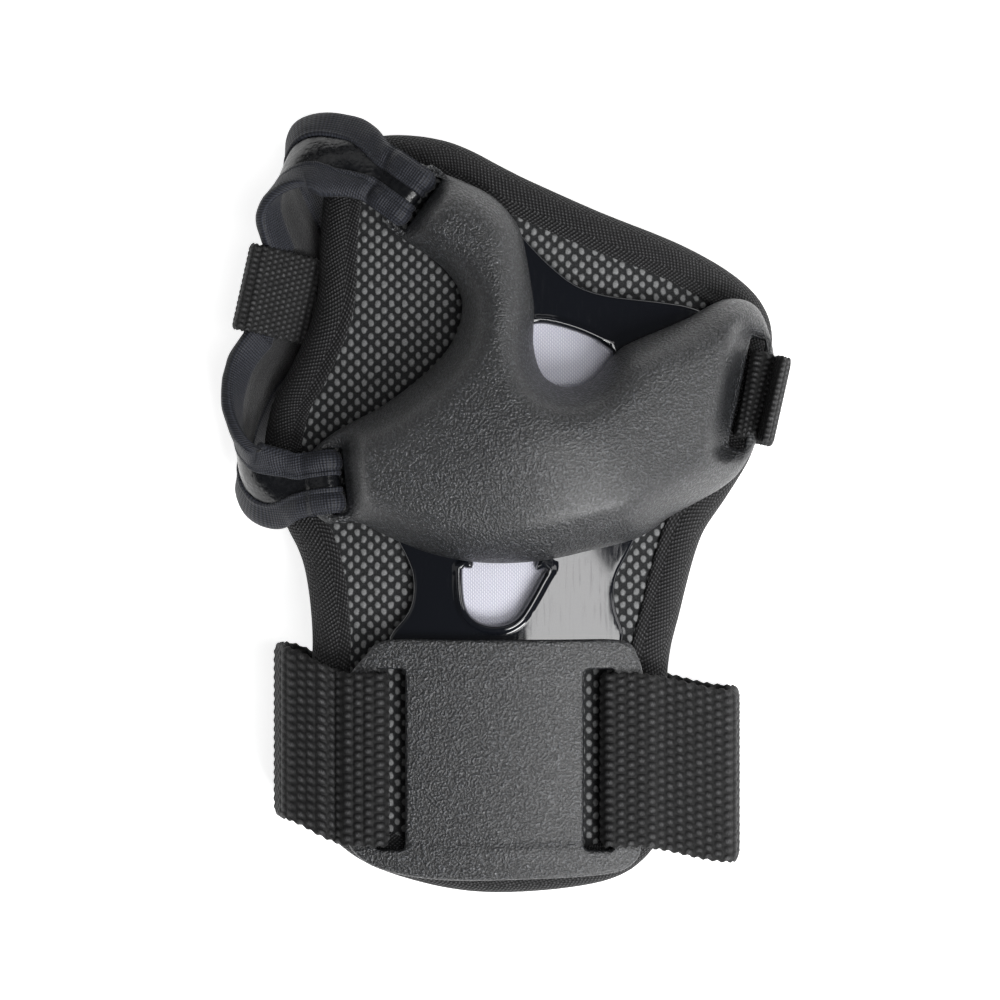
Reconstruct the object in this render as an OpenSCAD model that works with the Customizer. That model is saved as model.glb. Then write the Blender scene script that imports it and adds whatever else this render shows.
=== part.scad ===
// Wrist guard for the left hand, palm side up, closed and lying on its back straps.
// +X runs to the little-finger side, +Y to the fingertips, +Z out of the palm.
// The pad, the splint and the plates follow one gently arched surface, so most sub-parts
// are a flat outline draped between two heights above the pad's underside.

/* [Pad] */
// Thickness of the lining next to the skin
lining_t = 0.8; // [0.5:0.1:1.2]
// Thickness of the foam
foam_t = 2.8; // [2:0.2:4.4]
// Thickness of the dotted mesh on the palm side
mesh_t = 0.8; // [0.5:0.1:1.2]
// Thickness of the tape folded round the pad's edge
tape_t = 0.6; // [0.4:0.1:0.8]
// Width of that tape on each face
tape_w = 9; // [7:0.5:10]
// Width of the pad across the palm
palm_w = 118.4; // [112:0.4:124]
// Length of the pad from the waist to the fingertip end
palm_l = 104.4; // [98:0.4:112]
// Pad showing beside the cuff plate on the thumb side
pad_side_l = 8.7; // [6:0.1:10]
// Pad showing beside the cuff plate on the little-finger side
pad_side_r = 5.2; // [4:0.1:7]
// Pad showing below the cuff plate
pad_end = 3.3; // [2:0.1:5]

/* [Arch] */
// Radius of the arch over the wrist, at the pad's underside
arch_r = 140; // [130:2:170]
// Radius of the slight bend towards the fingertips
bend_r = 1300; // [1100:50:2000]
// Height of the pad's underside above the table at the middle of the cuff
crown_z = 24; // [23:0.5:27]

/* [Cuff plate] */
// Thickness of the cuff plate
cuff_t = 2.2; // [1.6:0.1:3]
// Width of the cuff plate
cuff_w = 67.7; // [66:0.1:72]
// Cuff plate beyond each end of its slots
cuff_end = 6.7; // [5:0.1:8]
// Width of the bar outside each slot
cuff_bar = 6.9; // [5.5:0.1:8]
// Width of each slot
cuff_slot = 7; // [6:0.1:8]
// Height of the bead round the lower window
bead_h = 0.7; // [0.4:0.1:0.9]

/* [Palm cap] */
// Thickness of the cap
cap_t = 2.4; // [1.8:0.1:3]
// Height of the dome above the cap's rim
cap_rise = 16; // [12:0.5:18]
// Distance from the rim over which the dome rises
cap_reach = 26; // [22:1:32]
// Width of the bars that the thumb band's ends go round
thumb_bar = 4.4; // [3.6:0.1:5]
// Width of the bar that the hand strap goes round
hand_bar = 3.2; // [2.8:0.1:3.4]
// Width of the slots in the cap
cap_slot = 4; // [3.9:0.1:4.6]

/* [Straps] */
// Width of the wrist strap
strap_w = 39.5; // [36:0.5:41]
// Thickness of the wrist strap's webbing
strap_t = 1.8; // [1.4:0.1:2]
// Width of the hand strap
hand_w = 20; // [18:0.5:22]
// Thickness of the hand strap's webbing
hand_t = 1.2; // [1:0.1:1.4]
// Thickness of each hook or loop patch
patch_t = 0.4; // [0.3:0.1:0.6]
// Slot length beyond the webbing's width
slot_play = 1.6; // [1.2:0.1:2.4]
// Clearance between webbing and the bar that it goes round
loop_fit = 0.25; // [0.2:0.05:0.35]
// Clearance at a crease where a strap swings
crease_fit = 0.3; // [0.3:0.05:0.6]

/* [Thumb band] */
// Width of the thumb band without its edge tape
band_w = 22; // [20:0.5:24]
// Thickness of the vinyl, and of the pile behind it
band_t = 1.2; // [0.9:0.1:1.4]
// Thickness of the ribbed tape on its edges
edge_t = 0.5; // [0.4:0.1:0.7]
// Width of that tape on each face
edge_w = 7; // [5:0.5:8]
// Width of the narrowed ends that go round the cap's bars
tab_w = 14; // [12:0.5:15]

/* [Rivets] */
// Radius of a rivet's shank
rivet_r = 1.6; // [1.2:0.1:2]
// Radius of a rivet's sunk head
head_r = 3; // [2.6:0.1:3.4]
// Radius of a rivet's washer
washer_r = 4.5; // [4:0.1:5.5]

/* [Hidden] */
$fn = 48;

// Heights above the pad's underside, measured along the arch's normal
skin_h = tape_t;
foam_h = skin_h + lining_t;
weave_h = foam_h + foam_t;
mesh_h = weave_h + mesh_t;
pad_h = mesh_h + tape_t;
seat_h = pad_h + strap_t + 2*loop_fit;
splint_t = seat_h - mesh_h;
cuff_h = seat_h + cuff_t;
cap_h = seat_h + cap_t;

// The cuff, from its top edge down
waist_y = -20;
cuff_top = waist_y - 11.7;
slot_l = strap_w + slot_play;
cuff_l = slot_l + 2*cuff_end;
cuff_y = cuff_top - cuff_l/2;
cuff_bottom = cuff_top - cuff_l;
cuff_x = -2;
cuff_left = cuff_x - cuff_w/2;
cuff_right = cuff_x + cuff_w/2;
pad_bottom = cuff_bottom - pad_end;
pad_left = cuff_left - pad_side_l;
pad_right = cuff_right + pad_side_r;

// A point of the palm half at the size in use; the lists are drawn at 118.4 by 104.4
wide = palm_w/118.4;
long = palm_l/104.4;
function palm(p) = [p[0]*wide, waist_y + (p[1] - waist_y)*long];

function unit(v) = v/norm(v);
function blend(a, b, c, d, t) =
  0.5*(2*b + (c - a)*t + (2*a - 5*b + 4*c - d)*t*t + (3*b - a - 3*c + d)*t*t*t);
// A closed curve through the points
function closed_curve(p, n = 3) = let (m = len(p))
  [for (i = [0:m - 1]) for (k = [0:n - 1])
    blend(p[(i + m - 1)%m], p[i], p[(i + 1)%m], p[(i + 2)%m], k/n)];
// An open curve through the points
function open_curve(p, n = 4) = let (m = len(p))
  [for (i = [0:m - 2]) for (k = [0:(i == m - 2 ? n : n - 1)])
    blend(p[max(i - 1, 0)], p[i], p[i + 1], p[min(i + 2, m - 1)], k/n)];

// Height over the table of a point that lies h above the pad's underside
function surf(x, y, h = 0) =
  sqrt(pow(bend_r - arch_r + sqrt(pow(arch_r + h, 2) - x*x), 2) - pow(y - cuff_y, 2))
  - bend_r + crown_z;
function surf_up(x, y, h) =
  unit([surf(x - 1, y, h) - surf(x + 1, y, h), surf(x, y - 1, h) - surf(x, y + 1, h), 2]);

pad_palm = [
  [-48.4, 32.2], [-43.3, 45], [-42.4, 61], [-41, 73], [-36.4, 80.8], [-27, 84.2], [-12, 82.3],
  [4, 74.4], [22, 66.4], [41, 59], [54, 51.8], [60.8, 44.6], [62.6, 36], [60.6, 22], [57.4, 10.5],
  [51, 0], [45.2, -9.2]
];
pad_thumb = [[-46, -15], [-51, -4], [-55.4, 9], [-53.4, 22.5]];
pad_outline = closed_curve(concat(
  [for (p = pad_palm) palm(p)],
  [[pad_right + 3.4, waist_y - 6], [pad_right + 0.6, cuff_top - 8], [pad_right - 0.6, cuff_y - 12],
   [pad_right - 2.6, cuff_bottom + 6.5], [cuff_right - 9, cuff_bottom - pad_end + 2.3],
   [cuff_x - 3, pad_bottom], [cuff_left + 8, cuff_bottom - pad_end + 4.8],
   [pad_left + 4.6, cuff_bottom + 9], [pad_left - 0.6, cuff_bottom + 16],
   [pad_left - 0.4, cuff_y + 8], [pad_left + 0.6, cuff_top]],
  [for (p = pad_thumb) palm(p)]));

tongue_gap = 1.2;
tongue_left = cuff_left + cuff_bar + cuff_slot + tongue_gap;
tongue_right = cuff_right - cuff_bar - cuff_slot - tongue_gap;

splint_head = [
  [-25.5, -5], [-22, 6], [-12, 22], [-5.5, 36], [-4, 50], [-1, 59.6], [3.5, 60.9], [6.2, 58.2],
  [11, 53.4], [16.9, 49], [24, 46.8], [35, 45.6], [43, 44.4], [46.6, 42], [45.6, 35], [41.5, 20], [35, 2],
  [29, -11], [25.6, -18]
];
splint_outline = closed_curve(concat(
  [for (p = splint_head) palm(p)],
  [[25.5, waist_y - 4.5], [27.3, cuff_top + 1], [25, cuff_top - 3.6], [tongue_right, cuff_top - 7],
   [tongue_right, cuff_y], [tongue_right - 1, cuff_bottom + 11.4], [cuff_x, cuff_bottom + 9.6],
   [tongue_left + 1, cuff_bottom + 11.4], [tongue_left, cuff_y], [tongue_left, cuff_top - 7],
   [-24.6, cuff_top - 3.6], [-26, cuff_top + 0.6], [-21.3, waist_y - 4.5]],
  [palm([-21, -16])]));

// The long hole down the splint, seen above and below the cap as two windows
window_hole = closed_curve([for (p = [
  [5.2, 37], [7.6, 40.2], [15.4, 38.8], [22.9, 35.4], [25, 31.5], [22, 16], [14, -2], [8, -14],
  [3.9, -21.6], [1.2, -25.3], [-2.4, -26.2], [-5.7, -24.8], [-6.9, -21], [-6.8, -12], [-4, 8], [1, 26]
]) palm(p)]);

cuff_outline = closed_curve([
  [-26.6, cuff_top - 0.2], [-10, cuff_top], [12, cuff_top], [27, cuff_top - 0.3],
  [cuff_right - 1.3, cuff_top - 4], [cuff_right, cuff_top - 10], [cuff_right, cuff_y],
  [cuff_right - 0.3, cuff_bottom + 9], [cuff_right - 2.6, cuff_bottom + 3.4],
  [cuff_right - 9, cuff_bottom + 1.2], [cuff_x + 8, cuff_bottom + 0.2], [cuff_x - 12, cuff_bottom],
  [cuff_left + 8, cuff_bottom + 2.2], [cuff_left + 1.4, cuff_bottom + 6.4],
  [cuff_left, cuff_bottom + 12], [cuff_left, cuff_y], [cuff_left, cuff_top - 11],
  [cuff_left + 4.4, cuff_top - 3.8]
]);

// Slots in the cap: middle in plan, direction out of the guard, slot length, bar width
upper_slot = [palm([-19.6, 68.2]), 143.5, tab_w + 1, thumb_bar];
lower_slot = [palm([-37.5, 4.3]), 186, tab_w + 1, thumb_bar];
hand_turn = -12.5;
slot_spare = 4.6;
right_slot = [palm([55.2, 24.4]), hand_turn, hand_w + slot_play + slot_spare, hand_bar];
cap_slots = [upper_slot, lower_slot, right_slot];
// A point on the outer edge of a slot's bar, t along it from the middle
function bar_edge(s, t) = s[0] + [cos(s[1]), sin(s[1])]*(cap_slot/2 + s[3]) + [-sin(s[1]), cos(s[1])]*t;
cap_horn = [
  [-15.6, 75.4], [-6, 71.3], [-0.6, 67.6], [3.8, 61.4],
  [5.8, 52], [7, 43], [6.8, 35.5], [8.8, 28.6], [13.8, 25.7], [19.6, 27], [24, 31.6], [27.5, 35.1],
  [36, 38.9], [43, 42.1], [49, 45.5], [54.4, 46.3], [59.4, 43.3]
];
cap_base = [
  [53.4, 5.6], [46.6, 0.8], [38, -3.8], [30.6, -8.6], [19, -11.6], [8.4, -13.8], [-4, -14.3],
  [-15.6, -12.4], [-26.2, -8.4], [-33.6, -4.9], [-39.4, -5.4]
];
cap_arc = [
  [-37.6, 16.1], [-29, 20.6], [-21, 26.2], [-13.9, 32.8], [-10, 40], [-10, 47.6], [-15.4, 54.4],
  [-23.4, 60]
];
tab_half = tab_w/2 - 0.5;
hand_half = hand_w/2;
cap_outline = closed_curve(concat(
  [bar_edge(upper_slot, tab_half), bar_edge(upper_slot, 0), bar_edge(upper_slot, -tab_half)],
  [for (p = cap_horn) palm(p)],
  [for (t = [1, 0, -1]) bar_edge(right_slot, t*hand_half)],
  [for (p = cap_base) palm(p)],
  [for (t = [1, 0, -1]) bar_edge(lower_slot, t*tab_half)],
  [for (p = cap_arc) palm(p)]), 2);

// Distance of a point from a piece of line, and from the cap's outline
function gap(p, a, b) = let (t = max(0, min(1, (p - a)*(b - a)/((b - a)*(b - a))))) norm(p - a - t*(b - a));
function rim_gap(p) = let (m = len(cap_outline)) min([for (i = [0:m - 1]) gap(p, cap_outline[i], cap_outline[(i + 1)%m])]);
function inside(p, o) = let (m = len(o)) len([for (i = [0:m - 1])
  let (a = o[i], b = o[(i + 1)%m]) if ((a[1] > p[1]) != (b[1] > p[1])
    && p[0] < (b[0] - a[0])*(p[1] - a[1])/(b[1] - a[1]) + a[0]) 1])%2 == 1;
function ease(t) = let (c = max(0, min(1, t))) c*c*(3 - 2*c);
// The dome is flat where a slot is, and rises to its full height away from them
flat_r = 5;
flat_run = 15;
function slot_gap(p, s) = let (v = [-sin(s[1]), cos(s[1])]*s[2]/2) gap(p, s[0] - v, s[0] + v);
function away(p) = let (g = [for (s = cap_slots) ease((slot_gap(p, s) - flat_r)/flat_run)]) g[0]*g[1]*g[2];
function dome(x, y) = let (p = [x, y], g = rim_gap(p)/cap_reach, t = inside(p, cap_outline) ? min(1, g) : -min(0.3, g))
  cap_rise*t*(2 - t)*away(p);

// Everything between two heights above the pad's underside
module between(h0, h1) {
  reach = 80;
  translate([0, cuff_y, crown_z - bend_r])
    rotate([90, 0, 90])
      rotate([0, 0, 82])
        rotate_extrude(angle = 11, $fn = 720)
          intersection() {
            difference() {
              translate([bend_r - arch_r, 0]) circle(r = arch_r + h1, $fn = 360);
              translate([bend_r - arch_r, 0]) circle(r = arch_r + h0, $fn = 360);
            }
            translate([bend_r - 60, -reach]) square([100, 2*reach]);
          }
}

// A flat outline draped between two heights
module drape(h0, h1) {
  intersection() {
    between(h0, h1);
    linear_extrude(crown_z + 40) children();
  }
}

// Puts a sub-part at a point of the surface, its x axis towards direction a and its z axis along the normal
module on_surface(p, a, h) {
  n = surf_up(p[0], p[1], h);
  flat = [cos(a), sin(a), 0];
  u = unit(flat - (flat*n)*n);
  v = cross(n, u);
  multmatrix([
    [u[0], v[0], n[0], p[0]],
    [u[1], v[1], n[1], p[1]],
    [u[2], v[2], n[2], surf(p[0], p[1], h)],
    [0, 0, 0, 1]
  ]) children();
}

// A slot with round corners through a plate of any thickness, along local y
slot_corner = 0.16;
module slot_cut(w, l) {
  depth = 12;
  r = slot_corner*w;
  translate([-w/2, -l/2 + r, -depth/2]) cube([w, l - 2*r, depth]);
  translate([-w/2 + r, -l/2, -depth/2]) cube([w - 2*r, l, depth]);
  for (x = [-1, 1]) for (y = [-1, 1])
    translate([x*(w/2 - r), y*(l/2 - r), -depth/2]) cylinder(r = r, h = depth);
}

rivet_spots = [
  palm([-9.5, 12]), palm([30, 12]), palm([2, 49.5]),
  [cuff_x - 9, cuff_y + 12], [cuff_x + 9, cuff_y + 12], [cuff_x - 9, cuff_y - 12], [cuff_x + 9, cuff_y - 12]
];
rivet_fit = 0.1;
head_t = 0.8;
peen_t = 0.5;
washer_fit = 0.05;
module rivet_holes() {
  for (p = rivet_spots) on_surface(p, 0, 0) translate([0, 0, -2]) cylinder(r = rivet_r + rivet_fit, h = seat_h + 4);
}

tape_fold = tape_t;
panel_fit = 0.15;
patch_rim = 3.5;
module pad_inner() { offset(delta = -tape_fold) polygon(pad_outline); }

module lining() {
  color("#26272a") difference() {
    drape(skin_h, foam_h) pad_inner();
    rivet_holes();
  }
}
module foam_core() {
  color("#3a3b3e") difference() {
    drape(foam_h, weave_h) pad_inner();
    rivet_holes();
  }
}
module mesh_panel() {
  color("#55575a") difference() {
    drape(weave_h, mesh_h) difference() {
      pad_inner();
      offset(delta = patch_rim + panel_fit) polygon(window_hole);
    }
    rivet_holes();
  }
}
module window_panel() {
  color("#f2f0f6") drape(weave_h, mesh_h) offset(delta = patch_rim) polygon(window_hole);
}

module tape_rim() {
  difference() {
    polygon(pad_outline);
    offset(delta = -tape_w) polygon(pad_outline);
  }
}
module edge_binding() {
  color("#1d1e20") difference() {
    drape(0, pad_h) tape_rim();
    drape(skin_h, mesh_h) pad_inner();
  }
}

bead_w = 2.2;
bead_root = 0.8;
module splint() {
  color("#101114") {
    difference() {
      drape(mesh_h, seat_h) difference() {
        polygon(splint_outline);
        polygon(window_hole);
      }
      rivet_holes();
      for (p = rivet_spots) on_surface(p, 0, 0) translate([0, 0, seat_h - head_t]) cylinder(r = head_r + rivet_fit, h = 4);
    }
    drape(seat_h - bead_root, seat_h + bead_h) intersection() {
      difference() {
        offset(delta = bead_w) polygon(window_hole);
        polygon(window_hole);
      }
      translate([-30, waist_y - 20]) square([60, 20 + 4.6]);
    }
  }
}

groove_d = 0.5;
module cuff_plate() {
  color("#33363b") difference() {
    drape(seat_h, cuff_h) polygon(cuff_outline);
    for (s = [cuff_left + cuff_bar + cuff_slot/2, cuff_right - cuff_bar - cuff_slot/2])
      on_surface([s, cuff_y], 0, seat_h) slot_cut(cuff_slot, slot_l);
    drape(cuff_h - groove_d, cuff_h + 1) for (y = [cuff_y + strap_w/2 - 1.6, cuff_y - strap_w/2])
      translate([tongue_left, y]) square([tongue_right - tongue_left, 1.2]);
  }
}

grid = 4;
cap_x = [-13*grid, 17*grid];
cap_y = [-5*grid, 21*grid];
module dome_sheet() {
  nx = (cap_x[1] - cap_x[0])/grid;
  ny = (cap_y[1] - cap_y[0])/grid;
  row = nx + 1;
  top = [for (j = [0:ny]) for (i = [0:nx]) let (x = (cap_x[0] + i*grid)*wide, y = palm([0, cap_y[0] + j*grid])[1])
    [x, y, surf(x, y, cap_h) + dome(x, y)]];
  low = [for (p = top) p - [0, 0, surf(p[0], p[1], cap_h) - surf(p[0], p[1], seat_h)]];
  n = len(top);
  polyhedron(points = concat(top, low), faces = concat(
    [for (j = [0:ny - 1]) for (i = [0:nx - 1]) let (k = j*row + i)
      each [[k, k + row, k + row + 1], [k, k + row + 1, k + 1]]],
    [for (j = [0:ny - 1]) for (i = [0:nx - 1]) let (k = n + j*row + i)
      each [[k, k + row + 1, k + row], [k, k + 1, k + row + 1]]],
    [for (i = [0:nx - 1]) each [[i, i + 1, n + i + 1], [i, n + i + 1, n + i]]],
    [for (i = [0:nx - 1]) let (k = ny*row + i) each [[k, n + k + 1, k + 1], [k, n + k, n + k + 1]]],
    [for (j = [0:ny - 1]) let (k = j*row) each [[k, n + k + row, k + row], [k, n + k, n + k + row]]],
    [for (j = [0:ny - 1]) let (k = j*row + nx) each [[k, k + row, n + k + row], [k, n + k + row, n + k]]]));
}
module palm_cap() {
  color("#33363b") difference() {
    intersection() {
      linear_extrude(crown_z + 60) polygon(cap_outline);
      dome_sheet();
    }
    for (s = cap_slots) on_surface(s[0], s[1], seat_h) slot_cut(cap_slot, s[2]);
  }
}

module rivets() {
  color("#8a8c90") for (p = rivet_spots) on_surface(p, 0, 0) {
    translate([0, 0, seat_h - head_t + rivet_fit]) cylinder(r = head_r, h = head_t - 2*rivet_fit);
    translate([0, 0, -peen_t]) cylinder(r = rivet_r, h = seat_h - head_t + 2*rivet_fit + peen_t);
    translate([0, 0, -peen_t]) cylinder(r = rivet_r + 0.9, h = peen_t);
  }
}
module rivet_washers() {
  color("#8a8c90") for (p = rivet_spots) on_surface(p, 0, 0) difference() {
    translate([0, 0, washer_fit]) cylinder(r = washer_r, h = skin_h - 3*washer_fit);
    translate([0, 0, -1]) cylinder(r = rivet_r + rivet_fit, h = skin_h + 2);
  }
}

// Webbing sewn round a bar: two legs and two round ends, with the doubled seam outside it
seam_l = 0.6;
function loop_out(t, web) = t/2 + loop_fit + web;
module bar_loop(bar, t, web, w) {
  r = t/2 + loop_fit;
  rotate([90, 0, 0]) translate([0, 0, -w/2]) linear_extrude(w) difference() {
    union() {
      square([bar, 2*(r + web)], center = true);
      for (s = [-1, 1]) translate([s*bar/2, 0]) circle(r = r + web);
    }
    square([bar, 2*r], center = true);
    for (s = [-1, 1]) translate([s*bar/2, 0]) circle(r = r);
  }
}
left_bar_x = cuff_left + cuff_bar/2;
right_bar_x = cuff_right - cuff_bar/2;
module wrist_loop_left() {
  color("#191a1c") on_surface([left_bar_x, cuff_y], 180, seat_h + cuff_t/2) bar_loop(cuff_bar, cuff_t, strap_t, strap_w);
}
module wrist_loop_right() {
  color("#191a1c") on_surface([right_bar_x, cuff_y], 0, seat_h + cuff_t/2) bar_loop(cuff_bar, cuff_t, strap_t, strap_w);
}
function bar_middle(s) = s[0] + [cos(s[1]), sin(s[1])]*(cap_slot + s[3])/2;
module hand_loop_right() {
  color("#191a1c") on_surface(bar_middle(right_slot), right_slot[1], seat_h + cap_t/2)
    bar_loop(hand_bar, cap_t, hand_t, hand_w);
}
module thumb_tab_upper() {
  color("#1a1d26") on_surface(bar_middle(upper_slot), upper_slot[1], seat_h + cap_t/2)
    bar_loop(thumb_bar, cap_t, hand_t, tab_w);
}
module thumb_tab_lower() {
  color("#1a1d26") on_surface(bar_middle(lower_slot), lower_slot[1], seat_h + cap_t/2)
    bar_loop(thumb_bar, cap_t, hand_t, tab_w);
}

// A band of thickness t along a path with rounded corners, as a closed outline
function corner(a, b, c, r, n = 6) = let (u = unit(a - b), v = unit(c - b), half = acos(u*v)/2,
  mid = b + unit(u + v)*r/sin(half), p = b + u*r/tan(half), s = p - mid, turn = (180 - 2*half)*sign(u[1]*v[0] - u[0]*v[1]))
  [for (k = [0:n]) let (w = turn*k/n) mid + [s[0]*cos(w) - s[1]*sin(w), s[0]*sin(w) + s[1]*cos(w)]];
function rounded(p, r) = let (m = len(p))
  concat([p[0]], [for (i = [1:m - 2]) each corner(p[i - 1], p[i], p[i + 1], r[i - 1])], [p[m - 1]]);
function side(p, d) = let (m = len(p)) [for (i = [0:m - 1])
  let (t = unit(p[min(i + 1, m - 1)] - p[max(i - 1, 0)])) p[i] + d*[-t[1], t[0]]];
function band_outline(p, t) = let (a = side(p, t/2), b = side(p, -t/2))
  concat(a, [for (i = [len(b) - 1:-1:0]) b[i]]);
module strap_run(path, t, w) {
  rotate([90, 0, 0]) translate([0, 0, -w/2]) {
    linear_extrude(w) polygon(band_outline(path, t));
    translate(path[0]) cylinder(r = t/2 - 0.01, h = w);
  }
}

// The creases where the wrist strap swings, just outside its loops; x and z only
function crease(x, s) = let (h = seat_h + cuff_t/2, n = surf_up(x, cuff_y, h), d = cuff_bar/2 + loop_out(cuff_t, strap_t) + crease_fit + strap_t/2)
  [x + s*d*n[2], surf(x, cuff_y, h) - d*abs(n[0])];
left_crease = crease(left_bar_x, -1);
right_crease = crease(right_bar_x, 1);
tail_z = strap_t/2;
lap_z = strap_t + 2*patch_t + 0.1 + strap_t/2;
right_fold_x = 53.6;
left_fold_x = -51.2;
tail_crease = [right_fold_x - 7.4, tail_z];
tail_end_x = -38;
lap_end_x = -2;

module in_wrist() { translate([0, cuff_y, 0]) children(); }
module wrist_strap_right() {
  color("#191a1c") in_wrist() strap_run(rounded([
    right_crease, [right_fold_x - 1, right_crease[1] - 5], [right_fold_x, tail_z],
    tail_crease + [crease_fit + strap_t/2, 0]], [5, 4]), strap_t, strap_w);
}
module wrist_tail() {
  color("#191a1c") in_wrist() strap_run([tail_crease, [tail_end_x, tail_z]], strap_t, strap_w);
}
module wrist_hook_patch() {
  color("#0e0e10") translate([tail_end_x + 2, cuff_y - strap_w/2 + 1.5, strap_t]) cube([34, strap_w - 3, patch_t]);
}
module wrist_strap_left() {
  color("#191a1c") in_wrist() strap_run(rounded([
    left_crease, left_crease + [-2.6, 2.2], [left_fold_x + 0.6, left_crease[1] - 1.6], [left_fold_x, lap_z],
    [lap_end_x, lap_z]], [2, 5, 5]), strap_t, strap_w);
}
module wrist_loop_patch() {
  color("#141518") translate([left_fold_x + 12, cuff_y - strap_w/2 + 1.5, lap_z - strap_t/2 - patch_t])
    cube([lap_end_x - left_fold_x - 14, strap_w - 3, patch_t]);
}

// The hand strap lies along its own line, turned hand_turn from +X, from the right slot to the thumb band
hand_mid = bar_middle(right_slot);
hand_dir = [cos(hand_turn), sin(hand_turn)];
hand_run_l = 112.7*wide;
module in_hand() { translate([hand_mid[0], hand_mid[1], 0]) rotate([0, 0, hand_turn]) children(); }
hand_crease_d = hand_bar/2 + loop_out(cap_t, hand_t) + 3*crease_fit + hand_t/2;
hand_up = surf_up(hand_mid[0], hand_mid[1], seat_h + cap_t/2);
hand_slope = hand_up[2];
hand_crease = [hand_crease_d*hand_slope, surf(hand_mid[0], hand_mid[1], seat_h + cap_t/2) - hand_crease_d*sqrt(1 - hand_slope*hand_slope)];
flap_z = hand_t/2;
run_z = hand_t + 2*patch_t + 0.1 + hand_t/2;
flap_l = 60;
run_end = -34;
module hand_strap_flap() {
  color("#191a1c") in_hand() strap_run(rounded([
    hand_crease, [hand_crease[0] + 0.2, flap_z], [hand_crease[0] - flap_l, flap_z]], [3]), hand_t, hand_w);
}
module hand_hook_patch() {
  color("#0e0e10") in_hand() translate([hand_crease[0] - flap_l + 1.5, -hand_w/2 + 1, hand_t]) cube([22, hand_w - 2, patch_t]);
}

// The thumb band's line: plan points, height, roll about the line (0 flat, 90 on edge), and how far
// its sections hold the sleeve's direction (0 square to the line, 1 square to the sleeve)
tab_reach = cap_slot/2 + thumb_bar + loop_out(cap_t, hand_t) + 3*crease_fit + 1.1;
function tab_end(s) = s[0] + [cos(s[1]), sin(s[1])]*tab_reach;
upper_end = tab_end(upper_slot);
lower_end = tab_end(lower_slot);
sleeve_mid = hand_mid - hand_dir*hand_run_l + [-hand_dir[1], hand_dir[0]]*0.6;
sleeve_z = 11.3;
sleeve_roll = 138;
across = [-hand_dir[1], hand_dir[0]];
sleeve_half = hand_w/2 + 0.8;
lead = 1.6;
sleeve_top = sleeve_mid + across*sleeve_half;
sleeve_low = sleeve_mid - across*sleeve_half;
function knot(p, z, roll, hold = 0) = [p[0], p[1], z, roll, hold];
function tab_z(p) = surf(p[0], p[1], seat_h + cap_t/2);
upper_line = open_curve([
  knot(upper_end, tab_z(upper_end) + 2, 1),
  knot(palm([-39.5, 79.1]), 23, 28), knot(palm([-49.3, 79.6]), 19.4, 60), knot(palm([-53, 73]), 15.6, 94),
  knot(palm([-50.6, 65.4]), 12.2, 124, 0.7), knot(sleeve_top + across*lead, sleeve_z, sleeve_roll, 1)]);
lower_line = open_curve([
  knot(sleeve_low - across*lead, sleeve_z, sleeve_roll, 1),
  knot(palm([-57, 28.4]), 12.2, 130), knot(palm([-61.2, 18.4]), 15, 104), knot(palm([-60.8, 9]), 18.8, 70),
  knot(palm([-56.4, 3.6]), 23, 27), knot(lower_end, tab_z(lower_end) + 1.3, 1)]);
band_line = concat(upper_line,
  [knot(sleeve_top, sleeve_z, sleeve_roll, 1), knot(sleeve_low, sleeve_z, sleeve_roll, 1)], lower_line);

// A section swept along the thumb band's line; the section's x is across the band, its y out of its face
function band_frame(i) = let (m = len(band_line), c = band_line[i], a = band_line[max(i - 1, 0)], b = band_line[min(i + 1, m - 1)],
  t = unit([b[0] - a[0], b[1] - a[1], b[2] - a[2]]), h = c[4],
  inward = unit([-t[1], t[0], 0]*(1 - h) + [hand_dir[0], hand_dir[1], 0]*h),
  lean = inward*cos(c[3]) + [0, 0, 1]*sin(c[3]), w = unit(lean - (lean*t)*(1 - h)*t))
  [[c[0], c[1], c[2]], w, unit(cross(t, w))];
module band_sweep(section, caps) {
  m = len(band_line);
  s = len(section);
  points = [for (i = [0:m - 1]) let (f = band_frame(i)) for (q = section) f[0] + q[0]*f[1] + q[1]*f[2]];
  polyhedron(points = points, faces = concat(
    [for (i = [0:m - 2]) for (k = [0:s - 1]) let (a = i*s + k, b = i*s + (k + 1)%s, d = section[(k + 1)%s] - section[k])
      each (d[0] > 0.01 || (abs(d[0]) < 0.01 && d[1] > 0))
        ? [[a, b + s, b], [a, a + s, b + s]] : [[a, a + s, b], [b, a + s, b + s]]],
    [for (f = caps) f],
    [for (f = caps) [f[2], f[1], f[0]] + (m - 1)*s*[1, 1, 1]]));
}
// A flat layer of the band; its long faces are split where the edge tapes end, so that all layers meet exactly
function layer(y0, y1) = let (x = [-band_w/2, -band_w/2 + edge_w, band_w/2 - edge_w, band_w/2])
  concat([for (q = x) [q, y0]], [for (i = [3:-1:0]) [x[i], y1]]);
layer_caps = [[0, 1, 6], [0, 6, 7], [1, 2, 5], [1, 5, 6], [2, 3, 4], [2, 4, 5]];
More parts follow.
